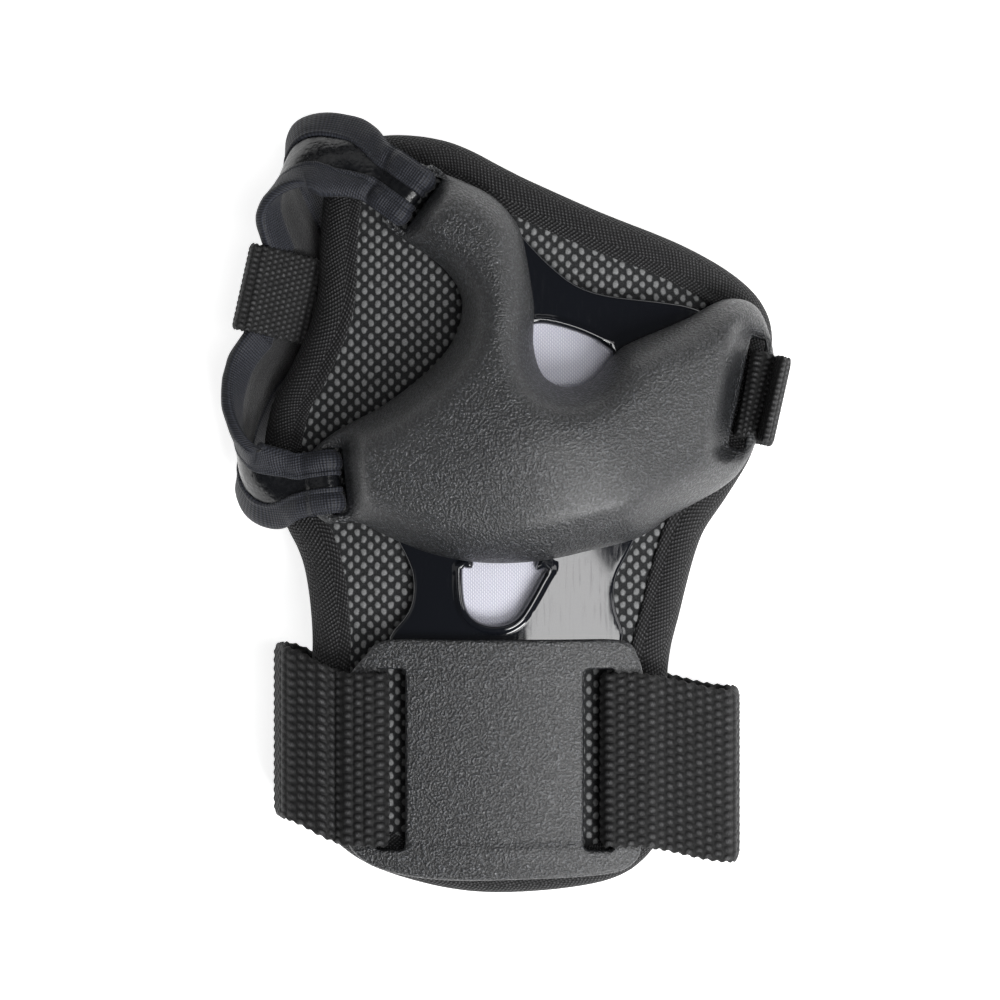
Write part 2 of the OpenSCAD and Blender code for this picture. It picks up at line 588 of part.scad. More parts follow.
// A channel of tape round the edge at x = e, its legs running back by edge_w
function channel(e, s) = let (o = band_t + edge_t, q = [
  [e - s*edge_w, -o], [e + s*edge_t, -o], [e + s*edge_t, o], [e - s*edge_w, o],
  [e - s*edge_w, band_t], [e, band_t], [e, 0], [e, -band_t], [e - s*edge_w, -band_t]])
  s > 0 ? q : [for (i = [0:8]) q[(9 - i)%9]];
channel_caps = [[0, 1, 8], [1, 7, 8], [1, 6, 7], [1, 2, 6], [2, 5, 6], [2, 4, 5], [2, 3, 4]];
function turned(caps) = [for (f = caps) [(9 - f[0])%9, (9 - f[2])%9, (9 - f[1])%9]];
module thumb_band() { color("#15171d") band_sweep(layer(0, band_t), layer_caps); }
module thumb_band_pile() { color("#101116") band_sweep(layer(-band_t, 0), layer_caps); }
module thumb_edge_front() { color("#1a1d26") band_sweep(channel(band_w/2, 1), channel_caps); }
module thumb_edge_back() { color("#1a1d26") band_sweep(channel(-band_w/2, -1), turned(channel_caps)); }

// Webbing sewn into a sleeve round the thumb band, and the run that leaves it towards the right
sleeve_fit = 0.6;
sleeve_r = band_t + edge_t + sleeve_fit;
module hand_strap_sleeve() {
  color("#191a1c") translate([sleeve_mid[0], sleeve_mid[1], sleeve_z]) rotate([0, 0, hand_turn])
    rotate([0, 180 - sleeve_roll, 0]) bar_loop_open(band_w + 2*edge_t, sleeve_r, hand_t, hand_w);
}
module bar_loop_open(l, r, web, w) {
  rotate([90, 0, 0]) translate([0, 0, -w/2]) linear_extrude(w) difference() {
    union() {
      square([l, 2*(r + web)], center = true);
      for (s = [-1, 1]) translate([s*l/2, 0]) circle(r = r + web);
    }
    square([l, 2*r], center = true);
    for (s = [-1, 1]) translate([s*l/2, 0]) circle(r = r);
  }
}
sleeve_end = [cos(180 - sleeve_roll), -sin(180 - sleeve_roll)]*(band_w/2 + edge_t);
run_crease = [-hand_run_l + sleeve_end[0] + sleeve_r + hand_t + crease_fit + hand_t/2, run_z];
module hand_strap() {
  color("#191a1c") in_hand() strap_run([run_crease, [run_end, run_z]], hand_t, hand_w);
}
module hand_loop_patch() {
  color("#141518") in_hand() translate([run_end - 30, -hand_w/2 + 1, run_z - hand_t/2 - patch_t]) cube([29, hand_w - 2, patch_t]);
}

lining();
foam_core();
mesh_panel();
window_panel();
edge_binding();
splint();
cuff_plate();
palm_cap();
rivets();
rivet_washers();
wrist_loop_left();
wrist_loop_right();
hand_loop_right();
thumb_tab_upper();
thumb_tab_lower();
wrist_strap_left();
wrist_loop_patch();
wrist_strap_right();
wrist_tail();
wrist_hook_patch();
hand_strap_flap();
hand_hook_patch();
hand_strap();
hand_loop_patch();
thumb_band();
thumb_band_pile();
thumb_edge_front();
thumb_edge_back();
hand_strap_sleeve();
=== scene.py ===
import math
import bmesh
import bpy
import numpy as np
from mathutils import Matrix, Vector, noise
from mathutils.geometry import delaunay_2d_cdt


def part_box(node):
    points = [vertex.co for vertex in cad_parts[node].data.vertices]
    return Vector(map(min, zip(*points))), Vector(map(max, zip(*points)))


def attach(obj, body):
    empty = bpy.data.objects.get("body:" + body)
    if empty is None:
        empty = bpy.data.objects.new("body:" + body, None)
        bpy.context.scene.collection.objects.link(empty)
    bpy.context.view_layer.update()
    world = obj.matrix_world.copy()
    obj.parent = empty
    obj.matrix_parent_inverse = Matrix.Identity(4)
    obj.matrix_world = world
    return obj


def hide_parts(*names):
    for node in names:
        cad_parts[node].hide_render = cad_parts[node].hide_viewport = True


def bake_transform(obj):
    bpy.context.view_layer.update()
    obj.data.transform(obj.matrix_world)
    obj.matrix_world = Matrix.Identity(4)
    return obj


# Left-hand wrist guard, palm side up. Lengths are in millimetres until a mesh is made.
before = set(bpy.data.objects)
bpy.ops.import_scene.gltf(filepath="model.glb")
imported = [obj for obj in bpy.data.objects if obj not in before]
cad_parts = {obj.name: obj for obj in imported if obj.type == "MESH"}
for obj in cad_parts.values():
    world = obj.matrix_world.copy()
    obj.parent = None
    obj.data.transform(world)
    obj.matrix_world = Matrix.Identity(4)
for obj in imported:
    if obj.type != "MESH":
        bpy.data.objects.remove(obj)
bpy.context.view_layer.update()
metre = 1000.0
print("frame loaded:", len(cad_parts), "solids")

cuffLow, cuffHigh = [np.array(corner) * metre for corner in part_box("cuff_plate")]
arch = {
    "radius": 140.0,      # across the wrist, at the pad's underside
    "bend": 1300.0,       # slight bend towards the fingertips
    "crown": 24.0,        # height of the underside over the table at the cuff
    "cuffMiddle": (cuffLow[1] + cuffHigh[1]) / 2,
}
level = {"weave": 5.0, "seat": 7.9, "cuff": 10.1, "cap": 10.3}     # heights over the underside


def archZ(x, y, h):
    across = np.sqrt((arch["radius"] + h) ** 2 - np.square(x))
    along = arch["bend"] - arch["radius"] + across
    return np.sqrt(np.square(along) - np.square(y - arch["cuffMiddle"])) - arch["bend"] + arch["crown"]


def archAt(h):
    # the arch at one height, for many plan points at once
    return lambda p: archZ(p[:, 0], p[:, 1], h)


def archUp(x, y, h):
    n = np.array([archZ(x - 1, y, h) - archZ(x + 1, y, h), archZ(x, y - 1, h) - archZ(x, y + 1, h), 2.0])
    return n / np.linalg.norm(n)


def unit(v):
    return np.array(v, float) / np.linalg.norm(v)


def unitRows(v):
    return v / np.linalg.norm(v, axis=1)[:, None]


def squareTo(v, along):
    # each row of v without its share along the line
    return v - along * np.sum(v * along, axis=1)[:, None]


def loopArea(loop):
    x, y = loop[:, 0], loop[:, 1]
    return 0.5 * np.sum(x * np.roll(y, -1) - y * np.roll(x, -1))


def rimLoops(nodeName, tilt=0.1):
    # plan outlines of a solid's top face: its outer edge first, then its openings
    bm = bmesh.new()
    bm.from_mesh(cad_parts[nodeName].data)
    bmesh.ops.remove_doubles(bm, verts=bm.verts, dist=1e-6)
    bm.normal_update()
    following = {}
    for edge in bm.edges:
        if len(edge.link_faces) != 2:
            continue
        top, wall = sorted(edge.link_faces, key=lambda f: -f.normal.z)
        if top.normal.z > 0.45 and abs(wall.normal.z) < tilt:
            for loop in top.loops:
                if loop.edge == edge:
                    following[loop.vert.index] = loop.link_loop_next.vert.index
    places = {v.index: np.array(v.co[:2]) * metre for v in bm.verts}
    bm.free()
    loops = []
    while following:
        start, nextOne = following.popitem()
        chain = [start]
        while nextOne in following:
            chain.append(nextOne)
            nextOne = following.pop(nextOne)
        if nextOne == start and len(chain) > 5:
            loops.append(np.array([places[i] for i in chain]))
    loops = [corners(loop) for loop in loops if abs(loopArea(loop)) > 12]
    loops.sort(key=lambda loop: -abs(loopArea(loop)))
    return [loop if loopArea(loop) > 0 else loop[::-1] for loop in loops]


def corners(loop):
    # the loop without the points that lie along its straight runs
    before = loop - np.roll(loop, 1, axis=0)
    after = np.roll(loop, -1, axis=0) - loop
    turn = before[:, 0] * after[:, 1] - before[:, 1] * after[:, 0]
    size = np.linalg.norm(before, axis=1) * np.linalg.norm(after, axis=1) + 1e-12
    return loop[np.abs(turn / size) > 0.012]


def curveThrough(points, step, closed=True):
    # a smooth curve through the points, at even steps
    p = np.array(points, float)
    if closed:
        a, b, c, d = np.roll(p, 1, axis=0), p, np.roll(p, -1, axis=0), np.roll(p, -2, axis=0)
    else:
        q = np.vstack([2 * p[0] - p[1], p, 2 * p[-1] - p[-2]])
        a, b, c, d = q[:-3], q[1:-2], q[2:-1], q[3:]
    fine = []
    for t in np.linspace(0, 1, 12, endpoint=False):
        square, cube = 2 * a - 5 * b + 4 * c - d, 3 * b - a - 3 * c + d
        fine.append(0.5 * (2 * b + (c - a) * t + square * t * t + cube * t ** 3))
    line = np.stack(fine, axis=1).reshape(-1, p.shape[1])
    line = np.vstack([line, line[:1] if closed else p[-1:]])
    return evenly(line, step, closed)


def evenly(line, step, closed=False):
    line = np.array(line, float)
    span = lengthsAlong(line)
    count = max(int(round(span[-1] / step)), 3)
    places = np.linspace(0, span[-1], count + 1)
    if closed:
        places = places[:-1]
    return np.stack([np.interp(places, span, line[:, k]) for k in range(line.shape[1])], axis=1)


def lengthsAlong(line):
    return np.concatenate([[0], np.cumsum(np.linalg.norm(np.diff(line, axis=0), axis=1))])


def ringOf(loop, step):
    return evenly(np.vstack([loop, loop[:1]]), step, True)


def softened(loop):
    return (np.roll(loop, 1, axis=0) + 2 * loop + np.roll(loop, -1, axis=0)) / 4


def inwardOf(loop, smooth=0):
    # unit steps to the left of the loop at each of its points
    along = np.roll(loop, -1, axis=0) - np.roll(loop, 1, axis=0)
    normal = unitRows(np.stack([-along[:, 1], along[:, 0]], axis=1))
    for _ in range(smooth):
        normal = softened(normal)
    return unitRows(normal)


def movedIn(loop, inset, step):
    # the loop moved inwards, without the folds that a tight corner makes
    moved = loop + inwardOf(loop, 3) * inset
    return ringOf(softened(moved[distanceTo(moved, loop) > abs(inset) - 0.12]), step)


def isInside(points, loop):
    x, y = points[:, 0][:, None], points[:, 1][:, None]
    ax, ay = loop[:, 0][None], loop[:, 1][None]
    bx, by = np.roll(loop[:, 0], -1)[None], np.roll(loop[:, 1], -1)[None]
    crosses = (ay > y) != (by > y)
    with np.errstate(divide="ignore", invalid="ignore"):
        at = (bx - ax) * (y - ay) / (by - ay) + ax
    return np.sum(crosses & (x < at), axis=1) % 2 == 1


def distanceTo(points, loop, block=3000):
    if len(points) > block:                # in blocks, to spare memory
        return np.concatenate([distanceTo(points[i:i + block], loop) for i in range(0, len(points), block)])
    a, b = loop[None], np.roll(loop, -1, axis=0)[None]
    d = b - a
    t = np.clip(np.sum((points[:, None] - a) * d, axis=2) / np.maximum(np.sum(d * d, axis=2), 1e-9), 0, 1)
    return np.linalg.norm(points[:, None] - a - t[..., None] * d, axis=2).min(axis=1)


def inArea(points, loops):
    # inside the first loop and outside the others
    inside = isInside(points, loops[0])
    for hole in loops[1:]:
        inside &= ~isInside(points, hole)
    return inside


def ease(t):
    t = np.clip(t, 0, 1)
    return t * t * (3 - 2 * t)


def ripple(points, size, seed=0.0):
    return np.array([noise.noise((x / size, y / size, seed)) for x, y in points])


def makeObject(name, verts, faces, material, uv=None, smooth=True):
    mesh = bpy.data.meshes.new(name)
    places = [tuple(v) for v in np.array(verts) / metre]
    mesh.from_pydata(places, [], [tuple(int(i) for i in f) for f in faces])
    mesh.polygons.foreach_set("use_smooth", [smooth] * len(mesh.polygons))
    if uv is not None:
        layer = mesh.uv_layers.new(name="cloth")
        index = np.empty(len(mesh.loops), int)
        mesh.loops.foreach_get("vertex_index", index)
        layer.data.foreach_set("uv", np.array(uv, float)[index].ravel())
    mesh.validate()
    obj = bpy.data.objects.new(name, mesh)
    bpy.context.collection.objects.link(obj)
    obj.data.materials.append(material)
    return obj


def fillLoops(loops, step, guides=()):
    # triangles inside the first loop and outside the others; guides are more rings of points
    edge = np.vstack(loops)
    low, high = loops[0].min(axis=0), loops[0].max(axis=0)
    xs, ys = np.arange(low[0] + step / 2, high[0], step), np.arange(low[1] + step / 2, high[1], step)
    grid = np.array([(x, y) for y in ys for x in xs])
    keep = inArea(grid, loops)
    for loop in loops:
        keep &= distanceTo(grid, loop) > step * 0.55
    grid = grid[keep]
    for guide in guides:
        grid = grid[distanceTo(grid, guide) > step * 0.5]
    points = np.vstack([edge, *guides, grid])
    links, first = [], 0
    for loop in loops:
        n = len(loop)
        links += [(first + i, first + (i + 1) % n) for i in range(n)]
        first += n
    out = delaunay_2d_cdt([tuple(p) for p in points], links, [], 0, 1e-6, True)
    source = []
    for place, origins in zip(out[0], out[3]):
        if not origins:                    # a new point where two edges cross
            points = np.vstack([points, [place[:]]])
        source.append(origins[0] if origins else len(points) - 1)
    tris = np.array([[source[i] for i in f] for f in out[2]])
    tris = tris[inArea(points[tris].mean(axis=1), loops)]
    a, b, c = points[tris[:, 0]], points[tris[:, 1]], points[tris[:, 2]]
    ab, ac = b - a, c - a
    flipped = ab[:, 0] * ac[:, 1] - ab[:, 1] * ac[:, 0] < 0
    tris[flipped] = tris[flipped][:, ::-1]
    return points, tris


def moulding(name, loops, topAt, underAt, material, edge=0.6, step=2.0, rounds=3, underEdge=0.3, guides=()):
    # a plate with rounded edges between two heights; the first loop is its edge, the others its openings
    rings = []
    for k in range(rounds + 1):
        angle = math.pi / 2 * k / rounds
        rings.append((edge * (1 - math.cos(angle)), edge * (1 - math.sin(angle))))
    insets = [inwardOf(loop) * (1 if i == 0 else -1) for i, loop in enumerate(loops)]
    ringLoops = [[loop + insets[i] * inset for i, loop in enumerate(loops)] for inset, _ in rings]
    topPoints, topTris = fillLoops(ringLoops[-1], step, guides)
    verts, faces = [np.column_stack([topPoints, topAt(topPoints)])], [topTris]
    count = sum(len(loop) for loop in loops)
    base = len(topPoints)
    ringStarts = [0]                      # the top ring is the first points of the fill
    for k in range(rounds - 1, -1, -1):
        flat = np.vstack(ringLoops[k])
        verts.append(np.column_stack([flat, topAt(flat) - rings[k][1]]))
        ringStarts.append(base)
        base += count
    low = np.vstack(ringLoops[0])
    verts.append(np.column_stack([low, underAt(low) + underEdge]))
    ringStarts.append(base)
    base += count
    underLoops = [loop + insets[i] * underEdge for i, loop in enumerate(loops)]
    underPoints, underTris = fillLoops(underLoops, step * 1.5)
    verts.append(np.column_stack([underPoints, underAt(underPoints)]))
    ringStarts.append(base)
    faces.append(underTris[:, ::-1] + base)
    quads = []
    for upper, lower in zip(ringStarts[:-1], ringStarts[1:]):
        first = 0
        for i, loop in enumerate(loops):
            n = len(loop)
            for j in range(n):
                a, b = first + j, first + (j + 1) % n
                quad = [upper + a, lower + a, lower + b, upper + b]
                quads.append(quad if i == 0 else quad[::-1])
            first += n
    allFaces = [list(f) for part in faces for f in part] + quads
    obj = makeObject(name, np.vstack(verts), allFaces, material)
    soften = obj.modifiers.new("edges", "WEIGHTED_NORMAL")
    soften.keep_sharp = True
    return obj


def sweep(name, centres, across, outward, sections, material, uvAlong):
    # sections[i] is a ring of (across, outward) places round the line at centres[i]
    m, k = len(centres), len(sections[0])
    sections = np.array(sections, float)
    verts = centres[:, None] + sections[..., :1] * across[:, None] + sections[..., 1:] * outward[:, None]
    faces = [(i * k + j, i * k + (j + 1) % k, (i + 1) * k + (j + 1) % k, (i + 1) * k + j)
             for i in range(m - 1) for j in range(k)]
    faces += [tuple(range(k - 1, -1, -1)), tuple((m - 1) * k + j for j in range(k))]
    uv = np.stack([np.repeat(uvAlong, k), sections[..., 0].ravel()], axis=1)
    return makeObject(name, verts.reshape(-1, 3), faces, material, uv)


class Finish:
    # a material with one shader, and short ways to feed it; its patterns are in millimetres
    def __init__(self, name, colour, rough, **sockets):
        self.material = bpy.data.materials.new(name)
        self.material.use_nodes = True
        self.tree = self.material.node_tree
        self.shader = self.tree.nodes["Principled BSDF"]
        self.shader.inputs["Base Color"].default_value = (*colour, 1)
        self.shader.inputs["Roughness"].default_value = rough
        for socket, value in sockets.items():
            self.shader.inputs[socket.replace("_", " ")].default_value = value

    def add(self, kind, out=0, settings=None, **values):
        node = self.tree.nodes.new("ShaderNode" + kind)
        for key, value in (settings or {}).items():
            setattr(node, key, value)
        for key, value in values.items():
            self.feed(node.inputs[key.replace("_", " ")], value)
        return node.outputs[out]

    def feed(self, socket, value):
        if isinstance(value, bpy.types.NodeSocket):
            self.tree.links.new(value, socket)
        else:
            socket.default_value = value

    def drive(self, socketName, value):
        self.feed(self.shader.inputs[socketName], value)

    def calc(self, operation, a, b=0.0, c=0.0):
        node = self.tree.nodes.new("ShaderNodeMath")
        node.operation = operation
        for socket, value in zip(node.inputs, (a, b, c)):
            self.feed(socket, value)
        return node.outputs[0]

    def place(self, cloth=False):
        # millimetres along x, y, z, or along and across a strap
        if cloth:
            return self.add("UVMap", settings={"uv_map": "cloth"})
        node = self.tree.nodes.new("ShaderNodeVectorMath")
        node.operation = "SCALE"
        self.feed(node.inputs[0], self.add("TexCoord", out=3))
        node.inputs[3].default_value = metre
        return node.outputs[0]

    def split(self, vector):
        node = self.tree.nodes.new("ShaderNodeSeparateXYZ")
        self.feed(node.inputs[0], vector)
        return node.outputs[0], node.outputs[1], node.outputs[2]

    def blendColours(self, factor, first, second):
        node = self.tree.nodes.new("ShaderNodeMix")
        node.data_type = "RGBA"
        self.feed(node.inputs[0], factor)
        self.feed(node.inputs[6], first if isinstance(first, bpy.types.NodeSocket) else (*first, 1))
        self.feed(node.inputs[7], second if isinstance(second, bpy.types.NodeSocket) else (*second, 1))
        return node.outputs[2]

    def spread(self, value, low, high, toLow=0.0, toHigh=1.0):
        return self.add("MapRange", settings={"clamp": True}, Value=value, From_Min=low, From_Max=high,
                        To_Min=toLow, To_Max=toHigh)

    def grain(self, place, size, detail=2.0, rough=0.55):
        return self.add("TexNoise", Vector=place, Scale=1.0 / size, Detail=detail, Roughness=rough)

    def relief(self, *heights):
        # heights are (value, millimetres) pairs, laid over each other as bump
        normal = None
        for value, depth in heights:
            node = self.tree.nodes.new("ShaderNodeBump")
            node.inputs["Strength"].default_value = 1.0
            node.inputs["Distance"].default_value = depth / metre
            self.feed(node.inputs["Height"], value)
            if normal is not None:
                self.feed(node.inputs["Normal"], normal)
            normal = node.outputs[0]
        self.drive("Normal", normal)

    def cells(self, place, along, across):
        # places within the cells of a pattern, each second column moved by half a cell
        u, v, _ = self.split(place)
        column = self.calc("DIVIDE", u, along)
        odd = self.calc("MODULO", self.calc("ABSOLUTE", self.calc("FLOOR", column)), 2.0)
        row = self.calc("ADD", self.calc("DIVIDE", v, across), self.calc("MULTIPLY", odd, 0.5))
        du = self.calc("SUBTRACT", self.calc("FRACT", column), 0.5)
        dv = self.calc("SUBTRACT", self.calc("FRACT", row), 0.5)
        return du, dv

    def knots(self, place, along, across):
        # a rounded bump in each cell
        du, dv = self.cells(place, along, across)
        bumpAlong = self.calc("COSINE", self.calc("MULTIPLY", du, math.pi))
        bumpAcross = self.calc("COSINE", self.calc("MULTIPLY", dv, math.pi))
        return self.calc("MULTIPLY", bumpAlong, bumpAcross)

    def stretched(self, place, scale):
        # noise drawn out along the yarn, or along the brush marks
        drawn = self.add("Mapping", Vector=place, Scale=scale)
        return self.add("TexNoise", Vector=drawn, Scale=1.0, Detail=2.0)


def cellPlaces(u, v, along, across):
    # the cells of Finish.cells, for the meshes
    column = u / along
    row = v / across + np.mod(np.abs(np.floor(column)), 2) * 0.5
    return np.mod(column, 1) - 0.5, np.mod(row, 1) - 0.5


def nubHeights(u, v):
    # 1 at the middle of a nub, 0 at its edge
    du, dv = cellPlaces(u, v, meshLook["column"], meshLook["row"])
    wide, long = du * meshLook["column"] / meshLook["nubWide"], dv * meshLook["row"] / meshLook["nubLong"]
    return 1 - np.sqrt(np.square(wide) + np.square(long))


def knotHeights(u, v, along, across):
    du, dv = cellPlaces(u, v, along, across)
    return np.cos(du * np.pi) * np.cos(dv * np.pi)


shellLook = {
    # the second colour is painted glint: light specks on the pebble grain that stand in for its sparkle
    # under the lamps; the third is random darker tone
    "colour": (0.0025, 0.003, 0.0042), "paintedGlint": (0.068, 0.073, 0.083), "patches": (0.006, 0.007, 0.009),
    "rough": 0.37, "grainSize": 0.55, "grainDepth": 0.60,
}


def matteShell():
    f = Finish("matte_shell", shellLook["colour"], shellLook["rough"],
               Specular_IOR_Level=1.0, Coat_Weight=0.35, Coat_Roughness=0.34)
    p = f.place()
    pebble = f.grain(p, shellLook["grainSize"], 2.0, 0.5)
    broad = f.grain(p, 14.0, 2.0)
    glintSpeck = f.spread(pebble, 0.50, 0.66)
    # painted glint: the pebble's high spots take the light speck colour in place of the grain's sparkle
    colour = f.blendColours(f.calc("MULTIPLY", glintSpeck, 0.75), shellLook["colour"], shellLook["paintedGlint"])
    colour = f.blendColours(f.spread(broad, 0.35, 0.7, 0.0, 0.25), colour, shellLook["patches"])
    f.drive("Base Color", colour)
    f.drive("Roughness", f.spread(pebble, 0.35, 0.7, 0.55, 0.30))
    f.relief((pebble, shellLook["grainDepth"]), (f.grain(p, 0.24, 1.0), 0.05))
    return f.material


def glossShell():
    f = Finish("gloss_shell", (0.006, 0.007, 0.010), 0.10,
               Specular_IOR_Level=0.6, Coat_Weight=0.35, Coat_Roughness=0.05)
    p = f.place()
    wave = f.grain(p, 22.0, 1.0)
    drawn = f.add("Mapping", Vector=p, Scale=(0.9, 0.06, 0.9))
    scuff = f.add("TexNoise", Vector=drawn, Scale=2.2, Detail=3.0)
    f.drive("Roughness", f.spread(scuff, 0.52, 0.72, 0.07, 0.17))
    f.relief((wave, 0.30))
    return f.material


meshLook = {
    "column": 1.56, "row": 3.0, "nubWide": 0.74, "nubLong": 0.94,
    "nub": (0.29, 0.294, 0.297), "nubShade": (0.06, 0.062, 0.064),
    "ground": (0.006, 0.0065, 0.007), "groundLit": (0.024, 0.025, 0.027),
}


def dottedMesh():
    f = Finish("dotted_mesh", meshLook["ground"], 0.75, Specular_IOR_Level=0.35, Sheen_Weight=0.15)
    p = f.place()
    du, dv = f.cells(p, meshLook["column"], meshLook["row"])
    uneven = f.grain(p, 1.1, 1.0)
    wide = f.calc("POWER", f.calc("MULTIPLY", du, meshLook["column"] / meshLook["nubWide"]), 2.0)
    long = f.calc("POWER", f.calc("MULTIPLY", dv, meshLook["row"] / meshLook["nubLong"]), 2.0)
    ragged = f.calc("MULTIPLY_ADD", uneven, 0.9, -0.45)
    reach = f.calc("ADD", f.calc("SQRT", f.calc("ADD", wide, long)), ragged)
    nub = f.spread(reach, 1.0, 0.62)
    yarn = f.stretched(p, (3.2, 9.0, 3.0))
    fine = f.grain(p, 0.28, 2.0)
    tone = f.blendColours(f.spread(yarn, 0.35, 0.7, 0.0, 0.6), meshLook["nub"], meshLook["nubShade"])
    under = f.blendColours(f.spread(fine, 0.4, 0.65), meshLook["ground"], meshLook["groundLit"])
    f.drive("Base Color", f.blendColours(nub, under, tone))
    f.relief((yarn, 0.12), (fine, 0.08))
    return f.material


clothLook = {
    "column": 0.42, "row": 0.84,
    # the first colour is painted shade in the hollows between the threads
    "gapShade": (0.60, 0.60, 0.72), "thread": (0.83, 0.83, 0.90), "shade": (0.72, 0.72, 0.82),
}


def windowCloth():
    f = Finish("window_cloth", (0.78, 0.78, 0.86), 0.8, Specular_IOR_Level=0.3, Sheen_Weight=0.2)
    p = f.place()
    knot = f.knots(p, clothLook["column"], clothLook["row"])
    shade = f.spread(f.grain(p, 5.0, 1.0), 0.3, 0.7, 0.0, 0.2)
    # painted shade: the weave's low places take the darker first colour, the raised threads the light one
    colour = f.blendColours(f.spread(knot, 0.1, 0.7), clothLook["gapShade"], clothLook["thread"])
    f.drive("Base Color", f.blendColours(shade, colour, clothLook["shade"]))
    f.relief((knot, 0.10))
    return f.material


tapeLook = {
    "colour": (0.002, 0.002, 0.0025), "lit": (0.11, 0.11, 0.115),
    "turn": 4.6, "slant": 0.62, "rib": 0.92, "crossRib": 0.70,      # the slant turns half way across
}


def bindingTape():
    f = Finish("binding_tape", tapeLook["colour"], 0.72,
               Specular_IOR_Level=0.4, Sheen_Weight=0.08, Sheen_Roughness=0.5)
    p = f.place(cloth=True)
    u, v, _ = f.split(p)
    fold = f.calc("PINGPONG", f.calc("ADD", v, 1.2), tapeLook["turn"])
    slant = f.calc("ADD", u, f.calc("MULTIPLY", fold, tapeLook["slant"]))
    crossing = f.calc("SUBTRACT", fold, f.calc("MULTIPLY", u, 0.25))
    a = f.calc("SINE", f.calc("MULTIPLY", slant, 2 * math.pi / tapeLook["rib"]))
    b = f.calc("SINE", f.calc("MULTIPLY", crossing, 2 * math.pi / tapeLook["crossRib"]))
    cell = f.calc("MULTIPLY_ADD", f.calc("ADD", a, f.calc("MULTIPLY", b, 0.75)), 0.285, 0.5)
    fuzz = f.grain(p, 0.5, 3.0)
    lit = f.calc("MULTIPLY", f.spread(cell, 0.52, 0.98), f.spread(fuzz, 0.35, 0.65, 0.25, 1.0))
    f.drive("Base Color", f.blendColours(lit, tapeLook["colour"], tapeLook["lit"]))
    f.relief((cell, 0.30), (fuzz, 0.12))
    return f.material


webLook = {
    "colour": (0.0015, 0.0015, 0.0018), "lit": (0.085, 0.085, 0.088),
    "wristWeave": (2.37, 2.0), "wristRelief": 0.40,       # column and row of the bumps
    "handWeave": (1.5, 1.3), "handRelief": 0.2,
}


def webbingCloth(name, weave, depth, paintedLightGain=1.0):
    f = Finish(name, webLook["colour"], 0.66, Specular_IOR_Level=0.42, Sheen_Weight=0.04)
    p = f.place(cloth=True)
    knot = f.knots(p, *weave)
    yarn = f.stretched(p, (7.0, 1.6, 1.0))
    patchy = f.grain(p, 2.2, 2.0)
    lit = f.calc("MULTIPLY", f.spread(knot, 0.42, 0.95), f.spread(yarn, 0.35, 0.65, 0.2, 1.0))
    lit = f.calc("MULTIPLY", lit, f.spread(patchy, 0.35, 0.65, 0.45, 1.15))
    # the last argument scales the painted light on the knots; a copy with it above 1 is a lighter, lamp-lit
    # copy of the same webbing
    brightest = tuple(c * paintedLightGain for c in webLook["lit"])
    f.drive("Base Color", f.blendColours(lit, webLook["colour"], brightest))
    f.relief((knot, depth), (yarn, 0.14))
    return f.material


ribbonLook = {"colour": (0.0025, 0.003, 0.006), "lit": (0.044, 0.049, 0.068), "rib": 0.56, "crossRib": 0.62}


def ribbonCloth():
    f = Finish("edge_ribbon", (0.012, 0.014, 0.021), 0.6, Specular_IOR_Level=0.45, Sheen_Weight=0.07)
    p = f.place(cloth=True)
    u, v, _ = f.split(p)
    along = f.calc("SINE", f.calc("MULTIPLY", u, 2 * math.pi / ribbonLook["rib"]))
    across = f.calc("SINE", f.calc("MULTIPLY", v, 2 * math.pi / ribbonLook["crossRib"]))
    rib = f.calc("MULTIPLY_ADD", f.calc("ADD", along, f.calc("MULTIPLY", across, 0.8)), 0.28, 0.5)
    thread = f.grain(p, 0.45, 2.0)
    lit = f.calc("MULTIPLY", f.spread(rib, 0.2, 1.0), f.spread(thread, 0.3, 0.7, 0.4, 1.0))
    f.drive("Base Color", f.blendColours(lit, ribbonLook["colour"], ribbonLook["lit"]))
    f.relief((rib, 0.14), (thread, 0.08))
    return f.material


def bandVinyl():
    f = Finish("band_vinyl", (0.006, 0.0065, 0.008), 0.24, Specular_IOR_Level=0.55)
    p = f.place(cloth=True)
    pebble = f.add("TexVoronoi", Vector=p, Scale=1.3, settings={"feature": "SMOOTH_F1"})
    crease = f.grain(p, 7.0, 1.0)
    f.drive("Roughness", f.spread(pebble, 0.1, 0.8, 0.17, 0.36))
    f.relief((pebble, 0.07), (crease, 0.35))
    return f.material


def fuzzy(name, colour, lit, size, depth, rough=0.9, sheen=0.2):
    f = Finish(name, colour, rough, Specular_IOR_Level=0.25, Sheen_Weight=sheen, Sheen_Roughness=0.6)
    p = f.place()
    tuft = f.grain(p, size, 3.0, 0.65)
    f.drive("Base Color", f.blendColours(f.spread(tuft, 0.35, 0.68), colour, lit))
    f.relief((tuft, depth))
    return f.material


def rivetMetal():
    f = Finish("rivet_metal", (0.36, 0.37, 0.38), 0.35, Metallic=1.0)
    p = f.place()
    brushed = f.stretched(p, (0.4, 6.0, 1.0))
    f.drive("Roughness", f.spread(brushed, 0.3, 0.7, 0.28, 0.5))
    f.relief((brushed, 0.02))
    return f.material


